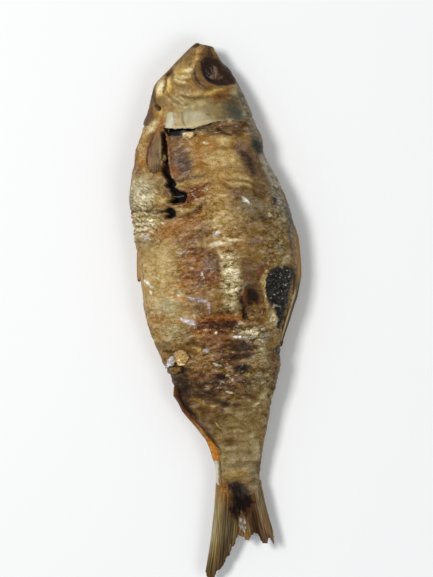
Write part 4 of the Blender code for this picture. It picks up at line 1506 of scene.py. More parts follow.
GILL_FRONT = ((-17.4, 85.4), (-12, 85), (-6, 86), (0, 87.2), (6, 87.4), (12, 85.6), (16.6, 82))
GILL_REAR = (
    (-17.2, 76.6), (-16.2, 76.1), (-13, 75.6), (-8.8, 75.3), (-5.2, 75.1), (-2.4, 75.7), (0.8, 76.3),
    (3.9, 77.1), (7.4, 76.9), (10.4, 77.3), (12.6, 76.3), (15.4, 76.4), (18.4, 77.4),
)
GILL_SPOTS = (
    (-5, 79.8, 12, 9, 0, "sage", 0.6),
    (-14, 79.8, 9, 4.4, 84, "blue_white", 0.95),
    # Painted highlight low on the gill cover's pale end.
    (-14.9, 77.6, 3.8, 2.6, 84, "shine", 0.3),
    (-10.6, 79.6, 9, 3.2, 86, "pale_gold", 0.7),
    (-10.6, 81.4, 4.6, 1.6, 80, "tan", 0.35),
    (-4.4, 80, 9, 5, 0, "blue_white", 0.4),
    (-3, 77, 12, 1.6, 4, "cream", 0.35),
    (2.6, 82, 10, 4, -4, "khaki", 0.6),
    (7, 81, 11, 9, 0, "khaki", 0.9),
    (6.6, 78.2, 6, 2, 0, "umber", 0.35),
    (14, 82.4, 13, 18, 0, "slate", 0.9),
    (17, 79.4, 4, 7, -20, "nape_grey", 0.7),
    (10, 77.4, 3.4, 1, -10, "pale_grey", 0.6),
    (-16.9, 81.6, 7.4, 1.9, 84, "gold", 0.85),
)
GILL_LINES = (
    (((-8.9, 83.4), (-9.2, 79.6), (-8.2, 76.2)), 1, "umber", 0.5),
    (((-12.6, 83), (-12.6, 79), (-12.2, 76.4)), 0.6, "tan", 0.6),
    (((-6.6, 83.4), (-2, 84.6), (2, 84.6)), 0.6, "pale_gold", 0.5),
    (((0.4, 80.6), (2.6, 79.6)), 0.5, "umber", 0.7),
    (((-16, 76.6), (-9, 76), (-2, 76.3)), 0.6, "cream", 0.6),
)


def gill_place(out, along, x, y):
    """The plate comes out of the cheek and stands proud of the shoulder at its rear edge."""
    sides = ease(0, 0.1, along) * ease(1, 0.88, along)
    lift = -0.7 + 1.1 * ease(0, 0.5, out) + 0.35 * ease(0.6, 1, out)
    lift = lift * sides - 0.5 * (1 - sides)
    crack = distance_to_line(x, y, ((-8.9, 83.4), (-9.2, 79.6), (-8.2, 76.0)))
    waves = 0.14 * np.sin((x - 0.4 * y) * 0.9) + 0.1 * cloudy(x / 3, y / 3, 71)
    lift += waves * ease(0, 0.3, out) - 0.15 * bell(crack, 0.5)
    ragged_edge = 0.25 * noise(along * 26, out * 0 + 2.2, 72) * ease(0.75, 1, out)
    return x, y + ragged_edge, flank_height(x, y) + lift


def paint_gill(out, along, x, y):
    paint = Paint(x, y, "sage", warp=0.3)
    paint.lay("pale_grey", 0.35)
    paint.spots(GILL_SPOTS)
    paint.lines(GILL_LINES)
    paint.lay("khaki", 0.6 * ease(0.5, 0.2, out) * ease(-12, -5, x) * ease(8, 3, x))
    paint.lay("olive", 0.7 * ease(0.5, 0.1, out) * ease(3, 8, x) * ease(14, 10, x))
    paint.shade(0.1 * cloudy(x / 1.8, y / 1.8, 73) - 0.13)
    return paint


def make_gill_covers():
    material = plate_finish("gill_plate", 0.1)
    for name, under in (("gill_cover_shown", False), ("gill_cover_under", True)):
        lay_patch(name, GILL_FRONT, GILL_REAR, (60, 150), gill_place, paint_gill, material,
                  settings().plate_thickness / MM, under)


EYE = (6.8, 96.6)
EYE_HALF = (7.4, 4.9)
EYE_TURN = -44
EYE_DEPTH = 2.5
EYE_HEIGHT = 1.5
EYE_STEPS = (72, 48)
EYE_RIDGE = ((5.0, 99.6), (6.2, 97.2), (5.2, 94.6))
EYE_SPOTS = (
    (9.4, 98.2, 7, 4, -50, "dark_brown", 0.7),
    (2, 98, 4, 6, -20, "near_black", 0.4),
    (3.7, 95.3, 2.4, 1.6, 40, "mauve", 0.5),
    (7.5, 95, 3, 1.8, 10, "mauve", 0.4),
    (9.8, 93.4, 4, 1.8, -30, "dark_brown", 0.6),
    (5.4, 93.2, 4, 1.6, 0, "dark_brown", 0.5),
)
EYE_LINES = (
    # Painted highlight along the ridge of the eye.
    (((5.7, 99.8), (6, 97.6), (5.5, 95)), 1, "mauve", 0.8),
    (((3.9, 97.2), (5.4, 96.2), (7.4, 96.6)), 0.7, "mauve", 0.45),
    (((3.8, 96.2), (4.6, 95)), 0.6, "pale_grey", 0.35),
)


def make_eyes():
    material = folded_finish("dried_eye", 900, 0.3, 0.3, 0.3, Specular_IOR_Level=0.1, Coat_Weight=0.12)
    for name, under in (("eye_shown", False), ("eye_under", True)):
        shape = bmesh.new()
        bmesh.ops.create_uvsphere(shape, u_segments=EYE_STEPS[0], v_segments=EYE_STEPS[1], radius=1)
        mesh = mesh_from(name, shape)
        ball = coordinates(mesh)
        turn = math.radians(EYE_TURN)
        long_way, short_way = ball[:, 0] * EYE_HALF[0], ball[:, 1] * EYE_HALF[1]
        x = EYE[0] + long_way * math.cos(turn) - short_way * math.sin(turn)
        y = EYE[1] + long_way * math.sin(turn) + short_way * math.cos(turn)
        folds = 0.45 * cloudy((x + 0.6 * y) / 1.8, (y - 0.6 * x) / 4, 81)
        folds += 0.15 * noise(x / 0.7, y / 0.7, 82)
        ridge = distance_to_line(x, y, EYE_RIDGE)
        folds += 0.55 * bell(ridge, 0.6)
        skin = 0.6 * flank_height(x, y) + 0.4 * height_at(*EYE)
        z = skin - EYE_DEPTH + EYE_HEIGHT * ball[:, 2] + folds * ease(-0.2, 0.6, ball[:, 2])
        if under:
            z = 2 * profile(y)[3] - z
            mesh.flip_normals()
        points = np.stack([x, y, z], axis=1)
        move_points(mesh, points)
        paint = Paint(x, y, "eye_brown", warp=0.3)
        paint.spots(EYE_SPOTS)
        paint.lines(EYE_LINES)
        # Painted light and shade: lighter where the eye's folds rise, darker where they sink.
        paint.shade(0.6 * folds)
        colour_mesh(mesh, paint)
        finished(name, mesh, material)


# ---- Fins and tail ----


def rays(along, count, seed, sharp=1.6):
    """Ridges of the fin rays: 1 on a ray and 0 between, with uneven spacing."""
    wander = 0.35 * noise(along * count / 3, along * 0 + 0.5, seed)
    return (0.5 + 0.5 * np.cos(2 * math.pi * (along * count + wander))) ** sharp


PECTORAL_ROOT = ((-20.4, 75), (-18.6, 75))
PECTORAL_TIPS = (
    (-25, 63), (-25, 60.6), (-24.4, 58.8), (-23.7, 59.4), (-23.2, 58), (-22.6, 58.9), (-22, 57.9),
    (-21.5, 59), (-21, 58.4), (-20.5, 60.6),
)


def pectoral_place(out, along, x, y):
    bow = math.pi * out
    x = x - 1.3 * np.sin(bow) * (1 - along) + 0.3 * np.sin(bow) * along
    ridges = 0.28 * rays(along, 9, 91) * ease(0, 0.2, out)
    lift = 0.3 + 0.9 * np.sin(bow * 0.9) + 0.5 * np.sin(math.pi * along) + ridges
    return x, y, skin_height(np.maximum(x, -29), y) + lift


def paint_pectoral(out, along, x, y):
    paint = Paint(x, y, "mauve", warp=0.25)
    blotches = cloudy(x / 2, y / 4, 93)
    paint.lay("pale_grey", 0.3)
    paint.lay("gold", 0.3 + 0.4 * blotches)
    paint.lay("umber", 0.5 * ease(0, -0.6, blotches))
    paint.lay("umber", 0.25 * (1 - rays(along, 9, 91)))
    paint.lay("red_brown", 0.8 * ease(0.22, 0.04, along))
    paint.lay("sage", 0.8 * ease(0.84, 0.95, along) * ease(0.1, 0.3, out))
    paint.lay("orange_brown", 0.5 * ease(0.22, 0, out))
    paint.lay("umber", 0.7 * ease(0.75, 1, out))
    return paint


PELVIC_ROOT = ((-30.9, 28.4), (-30.5, 22), (-30.7, 15.6))
PELVIC_EDGE = ((-31.6, 28.8), (-32.4, 26.4), (-32.9, 22), (-33.2, 17.6), (-33.2, 15.4), (-32.4, 14.8))


def pelvic_place(out, along, x, y):
    wide = 0.35 + 0.65 * ease(0, 0.6, along)
    tips = 0.5 * noise(out * 9, along * 0 + 0.4, 94) * ease(0.8, 1, along)
    height = np.minimum(flank_height(np.maximum(x, -31.4), y), 18.5)
    level = 16.0 + wide * ((height - 16.0) * (1 - out) - 5.0 * out) + 1.0 * np.sin(math.pi * out)
    return x - 0.15 * rays(out, 6, 95), y + tips, level + 0.15 * rays(out, 6, 95)


def paint_pelvic(out, along, x, y):
    paint = Paint(x, y, "pale_gold", warp=0.1)
    paint.lay("orange", 0.25 + 0.2 * noise(x / 0.6, y / 3, 96))
    paint.lay("russet", 0.7 * ease(0.7, 0.95, out))
    paint.lay("umber", 0.7 * ease(0.24, 0, out))
    paint.lay("umber", 0.35 * (1 - rays(out, 6, 95)))
    paint.lay("dark_brown", 0.9 * ease(0.86, 1, along))
    paint.lay("umber", 0.5 * ease(0.2, 0, along))
    paint.gloss = np.full(len(x), 0.7)
    return paint


DORSAL_ROOT = (
    (29.6, 35), (30.9, 30), (31.5, 24), (31.5, 17), (31, 11), (29.7, 5), (27.4, -1.4),
    (25.2, -7), (23.4, -12.4), (22.2, -16.4),
)
DORSAL_EDGE = (
    (31.3, 35.2), (33, 31.4), (33.9, 27.4), (34.15, 22), (34.1, 16), (33.8, 11.6), (32.6, 7), (31.4, 3),
    (29.6, -1), (27.4, -6.4), (25.2, -11.4), (23, -16.6),
)


def dorsal_place(out, along, x, y):
    tall = np.sin(math.pi * np.clip(along, 0.02, 0.98)) ** 0.6
    height = 14.4 + tall * (2.6 - 6.4 * out) + 0.4 * noise(along * 14, out * 3, 98)
    return x + 0.12 * rays(out, 5, 97), y, height


def paint_dorsal(out, along, x, y):
    paint = Paint(x, y, "olive", warp=0.1)
    bright = ease(0.02, 0.12, along) * ease(0.52, 0.42, along)
    paint.lay("gold", 0.75 * bright * ease(0.25, 0.5, out))
    paint.lay("orange_brown", 0.4 * bright * ease(0.6, 0.9, out))
    paint.lay("dark_brown", 0.85 * ease(0.3, 0.05, out))
    paint.lay("dark_brown", 0.6 * ease(0.5, 0.62, along) * ease(0.5, 0.8, out))
    paint.lay("cream", 0.75 * ease(0.52, 0.6, along) * bell(out - 0.35, 0.16))
    return paint


ANAL_ROOT = (
    (-20.4, -28.8), (-20, -33), (-17.8, -38.4), (-14.6, -43), (-11, -47.6), (-8.4, -52), (-6.2, -56),
    (-5.6, -61), (-5.8, -66), (-6.4, -71.6),
)
ANAL_EDGE = (
    (-22.2, -29.4), (-22.7, -33), (-20.9, -36.2), (-19.7, -39.6), (-17.2, -43.2), (-14.4, -47),
    (-10.9, -52.4), (-9.6, -56.4), (-8.9, -60), (-8.1, -62.6), (-8, -66), (-8.4, -70), (-7.4, -71),
)


def anal_place(out, along, x, y):
    ridges = 0.2 * rays(out, 3, 99)
    spine = profile(y)[3]
    return x, y, spine + 1.2 + 1.3 * np.sin(math.pi * out) * ease(1, 0.8, along) + 1.0 * (1 - out) + ridges


def paint_anal(out, along, x, y):
    paint = Paint(x, y, "orange_brown", warp=0.15)
    paint.lay("red_brown", 0.8 * ease(0.44, 0.3, along))
    paint.lay("plum", 0.85 * ease(0.38, 0.16, along) * ease(1.1, 0.4, out))
    paint.lay("gold", 0.7 * ease(0.36, 0.46, along) * ease(0.6, 0.52, along) * ease(0.35, 0.6, out))
    paint.lay("dark_brown", 0.85 * ease(0.5, 0.2, out) * ease(0.6, 0.54, along))
    paint.lay("umber", 0.5 * ease(0, 0.5, noise(along * 16, out * 2, 115)) * ease(0.6, 0.5, along))
    paint.lay("orange", 0.9 * ease(0.56, 0.62, along) * ease(0.8, 0.74, along))
    paint.lay("gold", 0.5 * ease(0.62, 0.68, along) * ease(0.8, 0.74, along) * ease(0.6, 0.9, out))
    paint.shade(0.4 * noise(along * 70, out * 1.5, 117) + 0.25 * noise(along * 24, out * 3, 118))
    torn = along + 0.02 * noise(out * 5, along * 30, 119)
    strip = ease(0.765, 0.79, torn)
    paint.lay("pale_grey", 0.9 * strip)
    paint.lay("shine", 0.5 * strip * ease(0.2, 0.7, out + 0.5 * noise(x / 0.8, y / 2.2, 116)))
    paint.lay("khaki", 0.9 * strip * ease(0.6, 0.2, out))
    return paint


def tail_height(x, y):
    """The tail's blades leave the stalk's surface and flatten out behind it."""
    behind = ease(-66, -82, y)
    stalk = flank_height(x, np.maximum(y, -74.0))
    return stalk * (1 - behind) + (TAIL_PLANE_Z + 1.2) * behind


BELLY_LOBE_ROOT = (
    (-7.6, -66.6), (-6.2, -69), (-4.6, -70.4), (-3, -71.2), (-0.6, -73), (1.2, -75.6), (1.6, -79.4),
)
BELLY_LOBE_TIPS = (
    (-15.3, -106.2), (-15.5, -107.6), (-14.9, -109), (-14.5, -110.2), (-13.4, -110), (-12.4, -109.2),
    (-11.7, -107), (-10.8, -106.3), (-9.6, -105.9), (-8.6, -104.8), (-7.8, -103.8), (-7, -101.8),
    (-6.4, -101), (-5.2, -100.5), (-5, -98.6), (-4.3, -97.2), (-3.1, -96.7), (-2.5, -94.8), (-1.5, -93.4),
    (-1, -92.3), (-0.2, -92.9), (0.8, -93.5), (0.4, -91), (-0.2, -88),
)
BACK_LOBE_ROOT = (
    (9.9, -70.6), (8.6, -74.4), (6.4, -74.8), (4, -75.4), (2, -77.4), (1.2, -80.6),
)
BACK_LOBE_TIPS = (
    (13.1, -92.6), (13.5, -94.6), (13.2, -97.3), (12.6, -95.8), (11.9, -94.6), (11.1, -94.7), (10.7, -96.9),
    (9.6, -96.7), (8.7, -96.6), (8.1, -94.6), (7.5, -92.7), (6.5, -92.5), (5.7, -91.9), (4.9, -92.8),
    (4.2, -93), (3.2, -95.1), (2.4, -94.7), (1.6, -94.7), (1.9, -92.4), (2.4, -89.6),
)
MEMBRANE_ROOT = ((-0.3, -84.6), (2.5, -84.8))
MEMBRANE_EDGE = ((-0.2, -91.0), (0.8, -90.6), (1.5, -92.0), (2.7, -90.2))


# How many rays each lobe has, and the seed of their spacing.
BELLY_RAYS = (21, 101)
BACK_RAYS = (17, 103)


def lobe_place(bow, count, seed, droop, sag):
    """How a tail lobe lies: how far its outer edge bows, its rays, and how far its tip and middle hang."""

    def place(out, along, x, y):
        x = x + bow * np.sin(math.pi * out) * (1 - along)
        ridges = 0.26 * rays(along, count, seed) * ease(0, 0.12, out) * (1 - 0.4 * out)
        hang = droop * out**2 + sag * np.sin(math.pi * along) * out
        return x, y, tail_height(x, y) + 0.25 - 0.9 * ease(0.08, 0, out) + ridges - hang

    return place


def paint_belly_base(paint, along, out):
    """The orange, scorched root of the lobe on the belly side."""
    paint.lay("orange_brown", 0.6 * ease(0.6, 0.3, along) * ease(0.34, 0.08, out + 0.3 * paint.wisp))
    paint.lay("gold", 0.5 * ease(0, 0.5, noise(along * 20, out * 6, 48)) * ease(0.3, 0.15, out))
    paint.lay("umber", 0.6 * ease(0.1, 0.6, paint.wisp * 2) * ease(0.3, 0.1, out))


def finish_lobe(paint, x, y, ridges, streak, threads):
    """Shades a tail lobe along its rays and scorches its root."""
    paint.shade(0.55 * (ridges - 0.5) + 0.5 * streak + 0.35 * threads)
    paint_scorch(paint, x, y)
    return paint


def paint_belly_lobe(out, along, x, y):
    paint = Paint(x, y, "olive", warp=0.3)
    streak = noise(along * 26, out * 3, 105)
    threads = noise(along * 70, out * 5, 106)
    middle = ease(0.2, 0.34, along) * ease(0.7, 0.56, along)
    paint.lay("khaki", ease(0.4, 0.22, along))
    paint.lay("sage", 0.6 * ease(0.28, 0.06, along) * ease(0.95, 0.4, out))
    paint.lay("pale_grey", 0.5 * ease(0.08, 0.02, along) * ease(0.2, 0.5, out))
    paint.lay("nape_grey", 0.4 * ease(0.5, 0.2, along) * ease(0, 0.6, streak))
    paint.lay("slate", 0.75 * middle * ease(0.05, 0.25, out))
    paint.lay("olive", 0.75 * middle * ease(-0.3, 0.5, streak))
    paint.lay("olive", 0.7 * ease(0.54, 0.62, along))
    paint.lay("orange_brown", 0.45 * ease(0.72, 0.84, along) * ease(0.25, 0.6, out))
    paint_belly_base(paint, along, out)
    paint.lay("dark_brown", 0.7 * ease(0.66, 1, out) * ease(0.7, 0.2, along))
    paint.lay("umber", 0.3 * ease(0.6, 0.95, out))
    return finish_lobe(paint, x, y, rays(along, *BELLY_RAYS), streak, threads)


def paint_back_lobe(out, along, x, y):
    paint = Paint(x, y, "umber", warp=0.3)
    streak = noise(along * 22, out * 3, 107)
    threads = noise(along * 60, out * 5, 108)
    paint.lay("khaki", 0.7 * ease(0.5, 0.24, along))
    paint.lay("nape_grey", 0.6 * ease(0.55, 0.15, along) * ease(0.8, 0.3, out))
    paint.lay("mauve", 0.5 * ease(0.45, 0.7, out) * ease(0.7, 0.5, along))
    paint.lay("dark_brown", 0.9 * ease(0.34, 0.46, along) * ease(0.72, 0.62, along) * ease(0.1, 0.4, out))
    paint.lay("gold", 0.5 * ease(0.66, 0.76, along) * ease(0.3, 0.6, out))
    paint.lay("olive", 0.5 * ease(0.66, 0.76, along) * ease(0, 0.6, streak))
    paint.lay("dark_brown", 0.5 * ease(0.7, 1, out) * ease(0.6, 0.4, along))
    paint.lay("pale_grey", 0.6 * ease(0.9, 1, out) * ease(0.24, 0.1, along))
    return finish_lobe(paint, x, y, rays(along, *BACK_RAYS), streak, threads)


def membrane_place(out, along, x, y):
    return x, y, TAIL_PLANE_Z + 2.1 - 0.8 * out + 0.4 * noise(x / 1.2, y / 1.4, 109)


def paint_membrane(out, along, x, y):
    paint = Paint(x, y, "nape_grey", warp=0.2)
    paint.lay("lilac", 0.5 * ease(-0.1, 0.4, noise((x + 0.4 * y) / 0.8, (y - 0.5 * x) / 1.9, 111)))
    paint.lay("dark_brown", 0.8 * ease(0.3, 0, out + 0.2 * paint.wisp))
    paint.lay("umber", 0.7 * ease(0, 0.5, noise((x - 0.3 * y) / 0.7, (y + 0.6 * x) / 1.7, 113)))
    return paint


def make_fins():
    material = fin_finish("dried_fin")
    thickness = settings().fin_thickness / MM
    pectoral = (PECTORAL_ROOT, PECTORAL_TIPS, (90, 70), pectoral_place, paint_pectoral)
    for row in (
        ("pectoral_fin", *pectoral),
        ("pelvic_fin", PELVIC_ROOT, PELVIC_EDGE, (24, 90), pelvic_place, paint_pelvic),
        ("dorsal_fin", DORSAL_ROOT, DORSAL_EDGE, (24, 200), dorsal_place, paint_dorsal),
        ("anal_fin", ANAL_ROOT, ANAL_EDGE, (24, 180), anal_place, paint_anal),
    ):
        lay_patch(*row, material, thickness)
    lay_patch("pectoral_fin_under", *pectoral, material, thickness, under=True)


def make_tail():
    material = fin_finish("tail_ray")
    thickness = settings().fin_thickness / MM
    belly_place, back_place = lobe_place(0.8, *BELLY_RAYS, 1.8, 0.5), lobe_place(-0.5, *BACK_RAYS, 1.2, 0)
    for row in (
        ("tail_belly_lobe", BELLY_LOBE_ROOT, BELLY_LOBE_TIPS, (110, 170), belly_place, paint_belly_lobe),
        ("tail_back_lobe", BACK_LOBE_ROOT, BACK_LOBE_TIPS, (80, 130), back_place, paint_back_lobe),
        ("tail_membrane", MEMBRANE_ROOT, MEMBRANE_EDGE, (40, 16), membrane_place, paint_membrane),
    ):
        lay_patch(*row, material, thickness)


# ---- Torn scraps and flesh ----

# Scraps of skin: name, start line, finish line, colours at start and finish, heights at start and
# finish, arch between them, thickness, darkness of the rim.
SCRAPS = (
    ("gill_flake", ((-10, 73.6), (-7.6, 73.9), (-5, 73.4)),
     ((-9.4, 70.4), (-8.2, 71.6), (-6.8, 71), (-5.2, 71.8)),
     "cream", "pale_gold", 0.2, 0.3, 0.7, 0.3, 0.6),
    ("gill_tatter", ((9.1, 77), (10.4, 77.2)), ((9.4, 75.8), (9.8, 76.1), (10.9, 76.3)),
     "sage", "pale_gold", 0.7, 0.4, 0.3, 0.25, 0.3),
    ("hollow_flap", ((10, -4.2), (12, -5.2), (14.6, -4.6), (17, -2.6)),
     ((10, -1.2), (11.2, 0.2), (13.4, -0.8), (15.4, 0.6), (17.6, -0.4)),
     "tan", "umber", 0, -0.2, 0.9, 0.4, 1),
    ("hollow_curl", ((10.2, -2.8), (11.8, -3.8), (13.4, -3.9)), ((10.8, -1.9), (12.2, -2.6), (13.8, -3.2)),
     "gold", "olive", 0.9, 1.2, 0.3, 0.3, 0.6),
    ("flesh_flap_upper", ((20, -0.8), (21.4, 1.4)), ((23.6, -0.2), (23.9, -0.9)),
     "nape_grey", "pale_grey", 0.3, 0.6, 0.5, 0.3, 0.3),
    ("flesh_flap_lower", ((18.8, -6), (20.6, -2.2)), ((22.5, -6.2), (22.2, -4.2)),
     "sage", "cream", 0.2, 0.5, 0.4, 0.3, 0.3),
    ("flesh_edge", ((17.6, 1), (17.9, 5), (18, 9), (18.4, 13.4)),
     ((18.3, 2), (18.5, 5.2), (18.5, 9), (19.1, 13.6)),
     "gold", "pale_gold", 0.1, 0.3, 0.3, 0.3, 0.4),
    ("vent_flake_upper", ((-20.8, -15.4), (-18.8, -14.2), (-16.2, -14.8)),
     ((-21.2, -18), (-18.4, -18.4), (-15.2, -17)),
     "gold", "pale_gold", 1.0, 1.5, 0.9, 0.35, 0.5),
    ("vent_flake_lower", ((-19.8, -17.6), (-17.6, -16.9), (-15, -16.4)),
     ((-19.2, -20.6), (-17.2, -20.4), (-14.9, -18.4)),
     "pale_gold", "gold", 1.1, 1.3, 0.9, 0.35, 0.5),
    ("vent_scrap", ((-20.6, -16.4), (-20.4, -18.2), (-21.2, -20.4)),
     ((-22.6, -17), (-24, -19), (-24.9, -21.4)),
     "pale_grey", "lilac", 1.2, 1.3, 0.9, 0.3, 0.3),
    ("vent_curl", ((-17.8, -21.2), (-20.6, -21.2), (-24, -21.2)),
     ((-19.6, -24), (-21.4, -24.6), (-24.3, -23.4)),
     "tan", "umber", 0.8, 1.0, 1.6, 0.4, 0.9),
    ("tear_web", ((-16.2, 48.3), (-13.6, 47.9), (-11.2, 48.2)), ((-16.2, 47.9), (-13.6, 47.5), (-11.2, 47.8)),
     "nape_grey", "umber", -1.2, -1.2, 0.1, 0.2, 0.3),
    ("tear_wall", ((-18.9, 65.8), (-18.8, 64.4), (-18.7, 62.8)),
     ((-17.4, 65.4), (-16.9, 64.2), (-17.2, 63.2)),
     "olive", "khaki", -0.6, -1.4, 0.3, 0.4, 0.8),
)
FIBRES = (
    ((-4.4, 74.5), (0, 73.7), (4.4, 73.3)),
    ((-2, 75), (2.4, 74.4), (5.4, 74.6)),
    ((-5, 73.2), (-1, 74.2), (2.6, 73.8)),
    ((1, 73.2), (4, 72.4), (7.4, 72.9)),
    ((-15.6, 76), (-15.2, 74.8), (-14.9, 73.2)),
)


def make_scrap(row, material):
    name, start, finish, first, second, low, high, arch, thickness, rim = row

    def place(out, along, x, y):
        loose = ease(0, 0.4, out)
        torn_x, torn_y = 0.6 * noise(x / 0.9, y / 0.9, 151), 0.6 * noise(x / 0.9, y / 0.9, 153)
        crumple = 0.45 * noise(x / 1.1, y / 1.1, 121)
        lift = low * (1 - out) + high * out + arch * np.sin(math.pi * out)
        return x + loose * torn_x, y + loose * torn_y, flank_height(x, y) + lift + crumple

    def paint(out, along, x, y):
        mixed = Paint(x, y, first, warp=0.2)
        mixed.lay(second, out + 0.6 * noise(x / 1, y / 0.8, 127))
        edge = np.minimum(np.minimum(out, 1 - out), np.minimum(along, 1 - along))
        mixed.lay("dark_brown", rim * ease(0.16, 0, edge + 0.1 * mixed.wisp))
        mixed.shade(0.5 * noise(x / 0.8, y / 0.8, 123))
        mixed.gloss = np.full(len(x), 0.8)
        return mixed

    lay_patch(name, start, finish, (26, 40), place, paint, material, thickness)


FIBRE_HALF, FIBRE_TIP = 0.16, 0.03
FIBRE_DEPTH, FIBRE_ARCH = 0.9, 0.4
LUMP_MIDDLE = (-18.2, -17.7)
LUMP_HALF, LUMP_HEIGHT = 2.7, 1.5


def make_fibres(material):
    """Silver strands of flesh across the gap behind the gill cover, as one piece."""
    shape = bmesh.new()
    for line in FIBRES:
        bmesh.ops.create_cone(shape, cap_ends=True, segments=8, radius1=1, radius2=1, depth=2)
        bmesh.ops.subdivide_edges(
            shape,
            edges=[e for e in shape.edges if abs(e.verts[0].co.z - e.verts[1].co.z) > 1.9],
            cuts=12,
        )
        fresh = [v for v in shape.verts if max(abs(v.co.x), abs(v.co.y), abs(v.co.z)) <= 1.001]
        for vertex in fresh:
            share = (vertex.co.z + 1) / 2
            x, y = along_line(line, share)
            thin = FIBRE_HALF * (1 - abs(2 * share - 1) ** 3) + FIBRE_TIP
            height = height_at(x, y) - FIBRE_DEPTH + FIBRE_ARCH * math.sin(math.pi * share)
            vertex.co = Vector((x, y + thin * vertex.co.x, height + thin * vertex.co.y))
    mesh = mesh_from("gill_fibres", shape)
    points = coordinates(mesh)
    move_points(mesh, points)
    paint = Paint(points[:, 0], points[:, 1], "olive", warp=0.1)
    paint.lay("sage", ease(0, 0.6, noise(points[:, 0] / 1, points[:, 1] / 1, 125)))
    colour_mesh(mesh, paint)
    finished("gill_fibres", mesh, material)


def make_vent_lump(material):
    """The crumpled lump of yellow fat at the vent."""
    shape = bmesh.new()
    bmesh.ops.create_icosphere(shape, subdivisions=5, radius=1)
    mesh = mesh_from("vent_lump", shape)
    ball = coordinates(mesh)
    folds = cloudy(ball[:, 0] * 0.9 + 3, ball[:, 1] * 0.9 + ball[:, 2], 131, 2)
    creases = np.abs(noise(ball[:, 0] * 1.0 + 5, ball[:, 1] * 1.3 + ball[:, 2] * 1.2, 132))
    ball = ball * (1 + 0.5 * folds + 0.6 * (creases - 0.3))[:, None]
    x = LUMP_MIDDLE[0] + LUMP_HALF * ball[:, 0] + 0.5 * ball[:, 1]
    y = LUMP_MIDDLE[1] + LUMP_HALF * ball[:, 1] - 0.6 * ball[:, 0]
    points = np.stack([x, y, height_at(-18.2, -17.4) - 0.2 + LUMP_HEIGHT * ball[:, 2]], axis=1)
    move_points(mesh, points)
    paint = Paint(x, y, "gold", warp=0.3)
    paint.lay("yellow", 0.9 * ease(-20.4, -17.8, x - 0.3 * (y + 17)))
    # Partly painted light and shade: cream where the lump's creases rise, orange-brown where they sink, and
    # lighter and darker with its folds. The cream patch and the orange-brown streak are its own colours.
    paint.lay("cream", 0.7 * blob(x, y, (-17.0, -18.8, 4.4, 3.4, 20)) + 0.4 * ease(0.2, 0.5, creases))
    paint.lay("orange_brown", 0.85 * blob(x, y, (-17.2, -16.0, 5.0, 1.8, -32)))
    paint.lay("orange_brown", 0.3 * ease(0.1, 0.02, creases))
    paint.shade(0.5 * folds + 0.1)
    colour_mesh(mesh, paint)
    finished("vent_lump", mesh, material)


GRAIN_SEED = 7
GRAIN_FIELD = ((18.5, -9.0), (30.5, 16.0))
GRAIN_TRIES = 900
GRAIN_COUNT = 150


def make_flesh_grains(material):
    """Crumbs of dark dried flesh in the bare place by the back, as one piece."""
    chance = np.random.default_rng(GRAIN_SEED)
    shape = bmesh.new()
    spots = chance.uniform(*GRAIN_FIELD, (GRAIN_TRIES, 2))
    depth = ragged(spots[:, 0], spots[:, 1], BARE_FLESH)
    spots = spots[depth > 0.5][:GRAIN_COUNT]
    heights = skin_height(spots[:, 0], spots[:, 1])
    for (x, y), z in zip(spots, heights):
        made = bmesh.ops.create_icosphere(shape, subdivisions=2, radius=1)["verts"]
        size = chance.uniform(0.12, 0.5, 3) * (1.0, 1.0, 0.7)
        turn = Matrix.Rotation(chance.uniform(0, math.pi), 4, "Z")
        lying = Matrix.Translation((x, y, z + 0.05)) @ turn @ Matrix.Diagonal((*size, 1))
        bmesh.ops.transform(shape, matrix=lying, verts=made)
    mesh = mesh_from("flesh_grains", shape)
    points = coordinates(mesh)
    points = points + 0.12 * noise(points[:, 0] / 0.3, points[:, 1] / 0.3, 141)[:, None] * normals(mesh)
    move_points(mesh, points)
    x, y = points[:, 0], points[:, 1]
    paint = Paint(x, y, "near_black", warp=0.1)
    paint.lay("slate", ease(-0.2, 0.5, noise(x / 0.9, y / 0.9, 143)))
    paint.lay("pale_grey", 0.6 * ease(0.5, 0.8, noise(x / 0.8, y / 0.8, 145)))
    paint.gloss = np.full(len(x), 0.7)
    colour_mesh(mesh, paint)
    finished("flesh_grains", mesh, material)


def make_scraps():
    material = scrap_finish("torn_skin", 0.4, 1400)
    for row in SCRAPS:
        make_scrap(row, material)
    make_fibres(material)
    make_vent_lump(scrap_finish("fat_lump", 0.3, 500))
    make_flesh_grains(scrap_finish("dark_flesh", 0.35, 1400))


# ---- The stage ----

CAMERA_TURN = -4.875
CAMERA_SPOT = (-1.29, 9.28, 1512.5)
CAMERA_REACH = 20
LENS = 228.3
FLOOR_HALF = 4
# Each lamp: name, place and size in metres, power. It looks at the middle of the floor.
LAMPS = (
    ("key_light", (-0.5, 0.3, 1.15), 0.3, 9.7),
    ("fill_light", (0.5, -0.4, 1.1), 0.5, 2.7),
)
LAMP_COLOUR = (1.0, 0.99, 0.98)
SKY_COLOUR = (0.92, 0.97, 1.0, 1)
SKY_STRENGTH = 0.36


def add_lamp(name, spot, size, power):
    light = bpy.data.lights.new(name, "AREA")
    light.shape = "RECTANGLE"
    light.size, light.size_y = size, size
    light.energy = power
    light.color = LAMP_COLOUR
    made = bpy.data.objects.new(name, light)
    made.location = spot
    made.rotation_euler = (-Vector(spot)).to_track_quat("-Z", "Y").to_euler()
    bpy.context.scene.collection.objects.link(made)


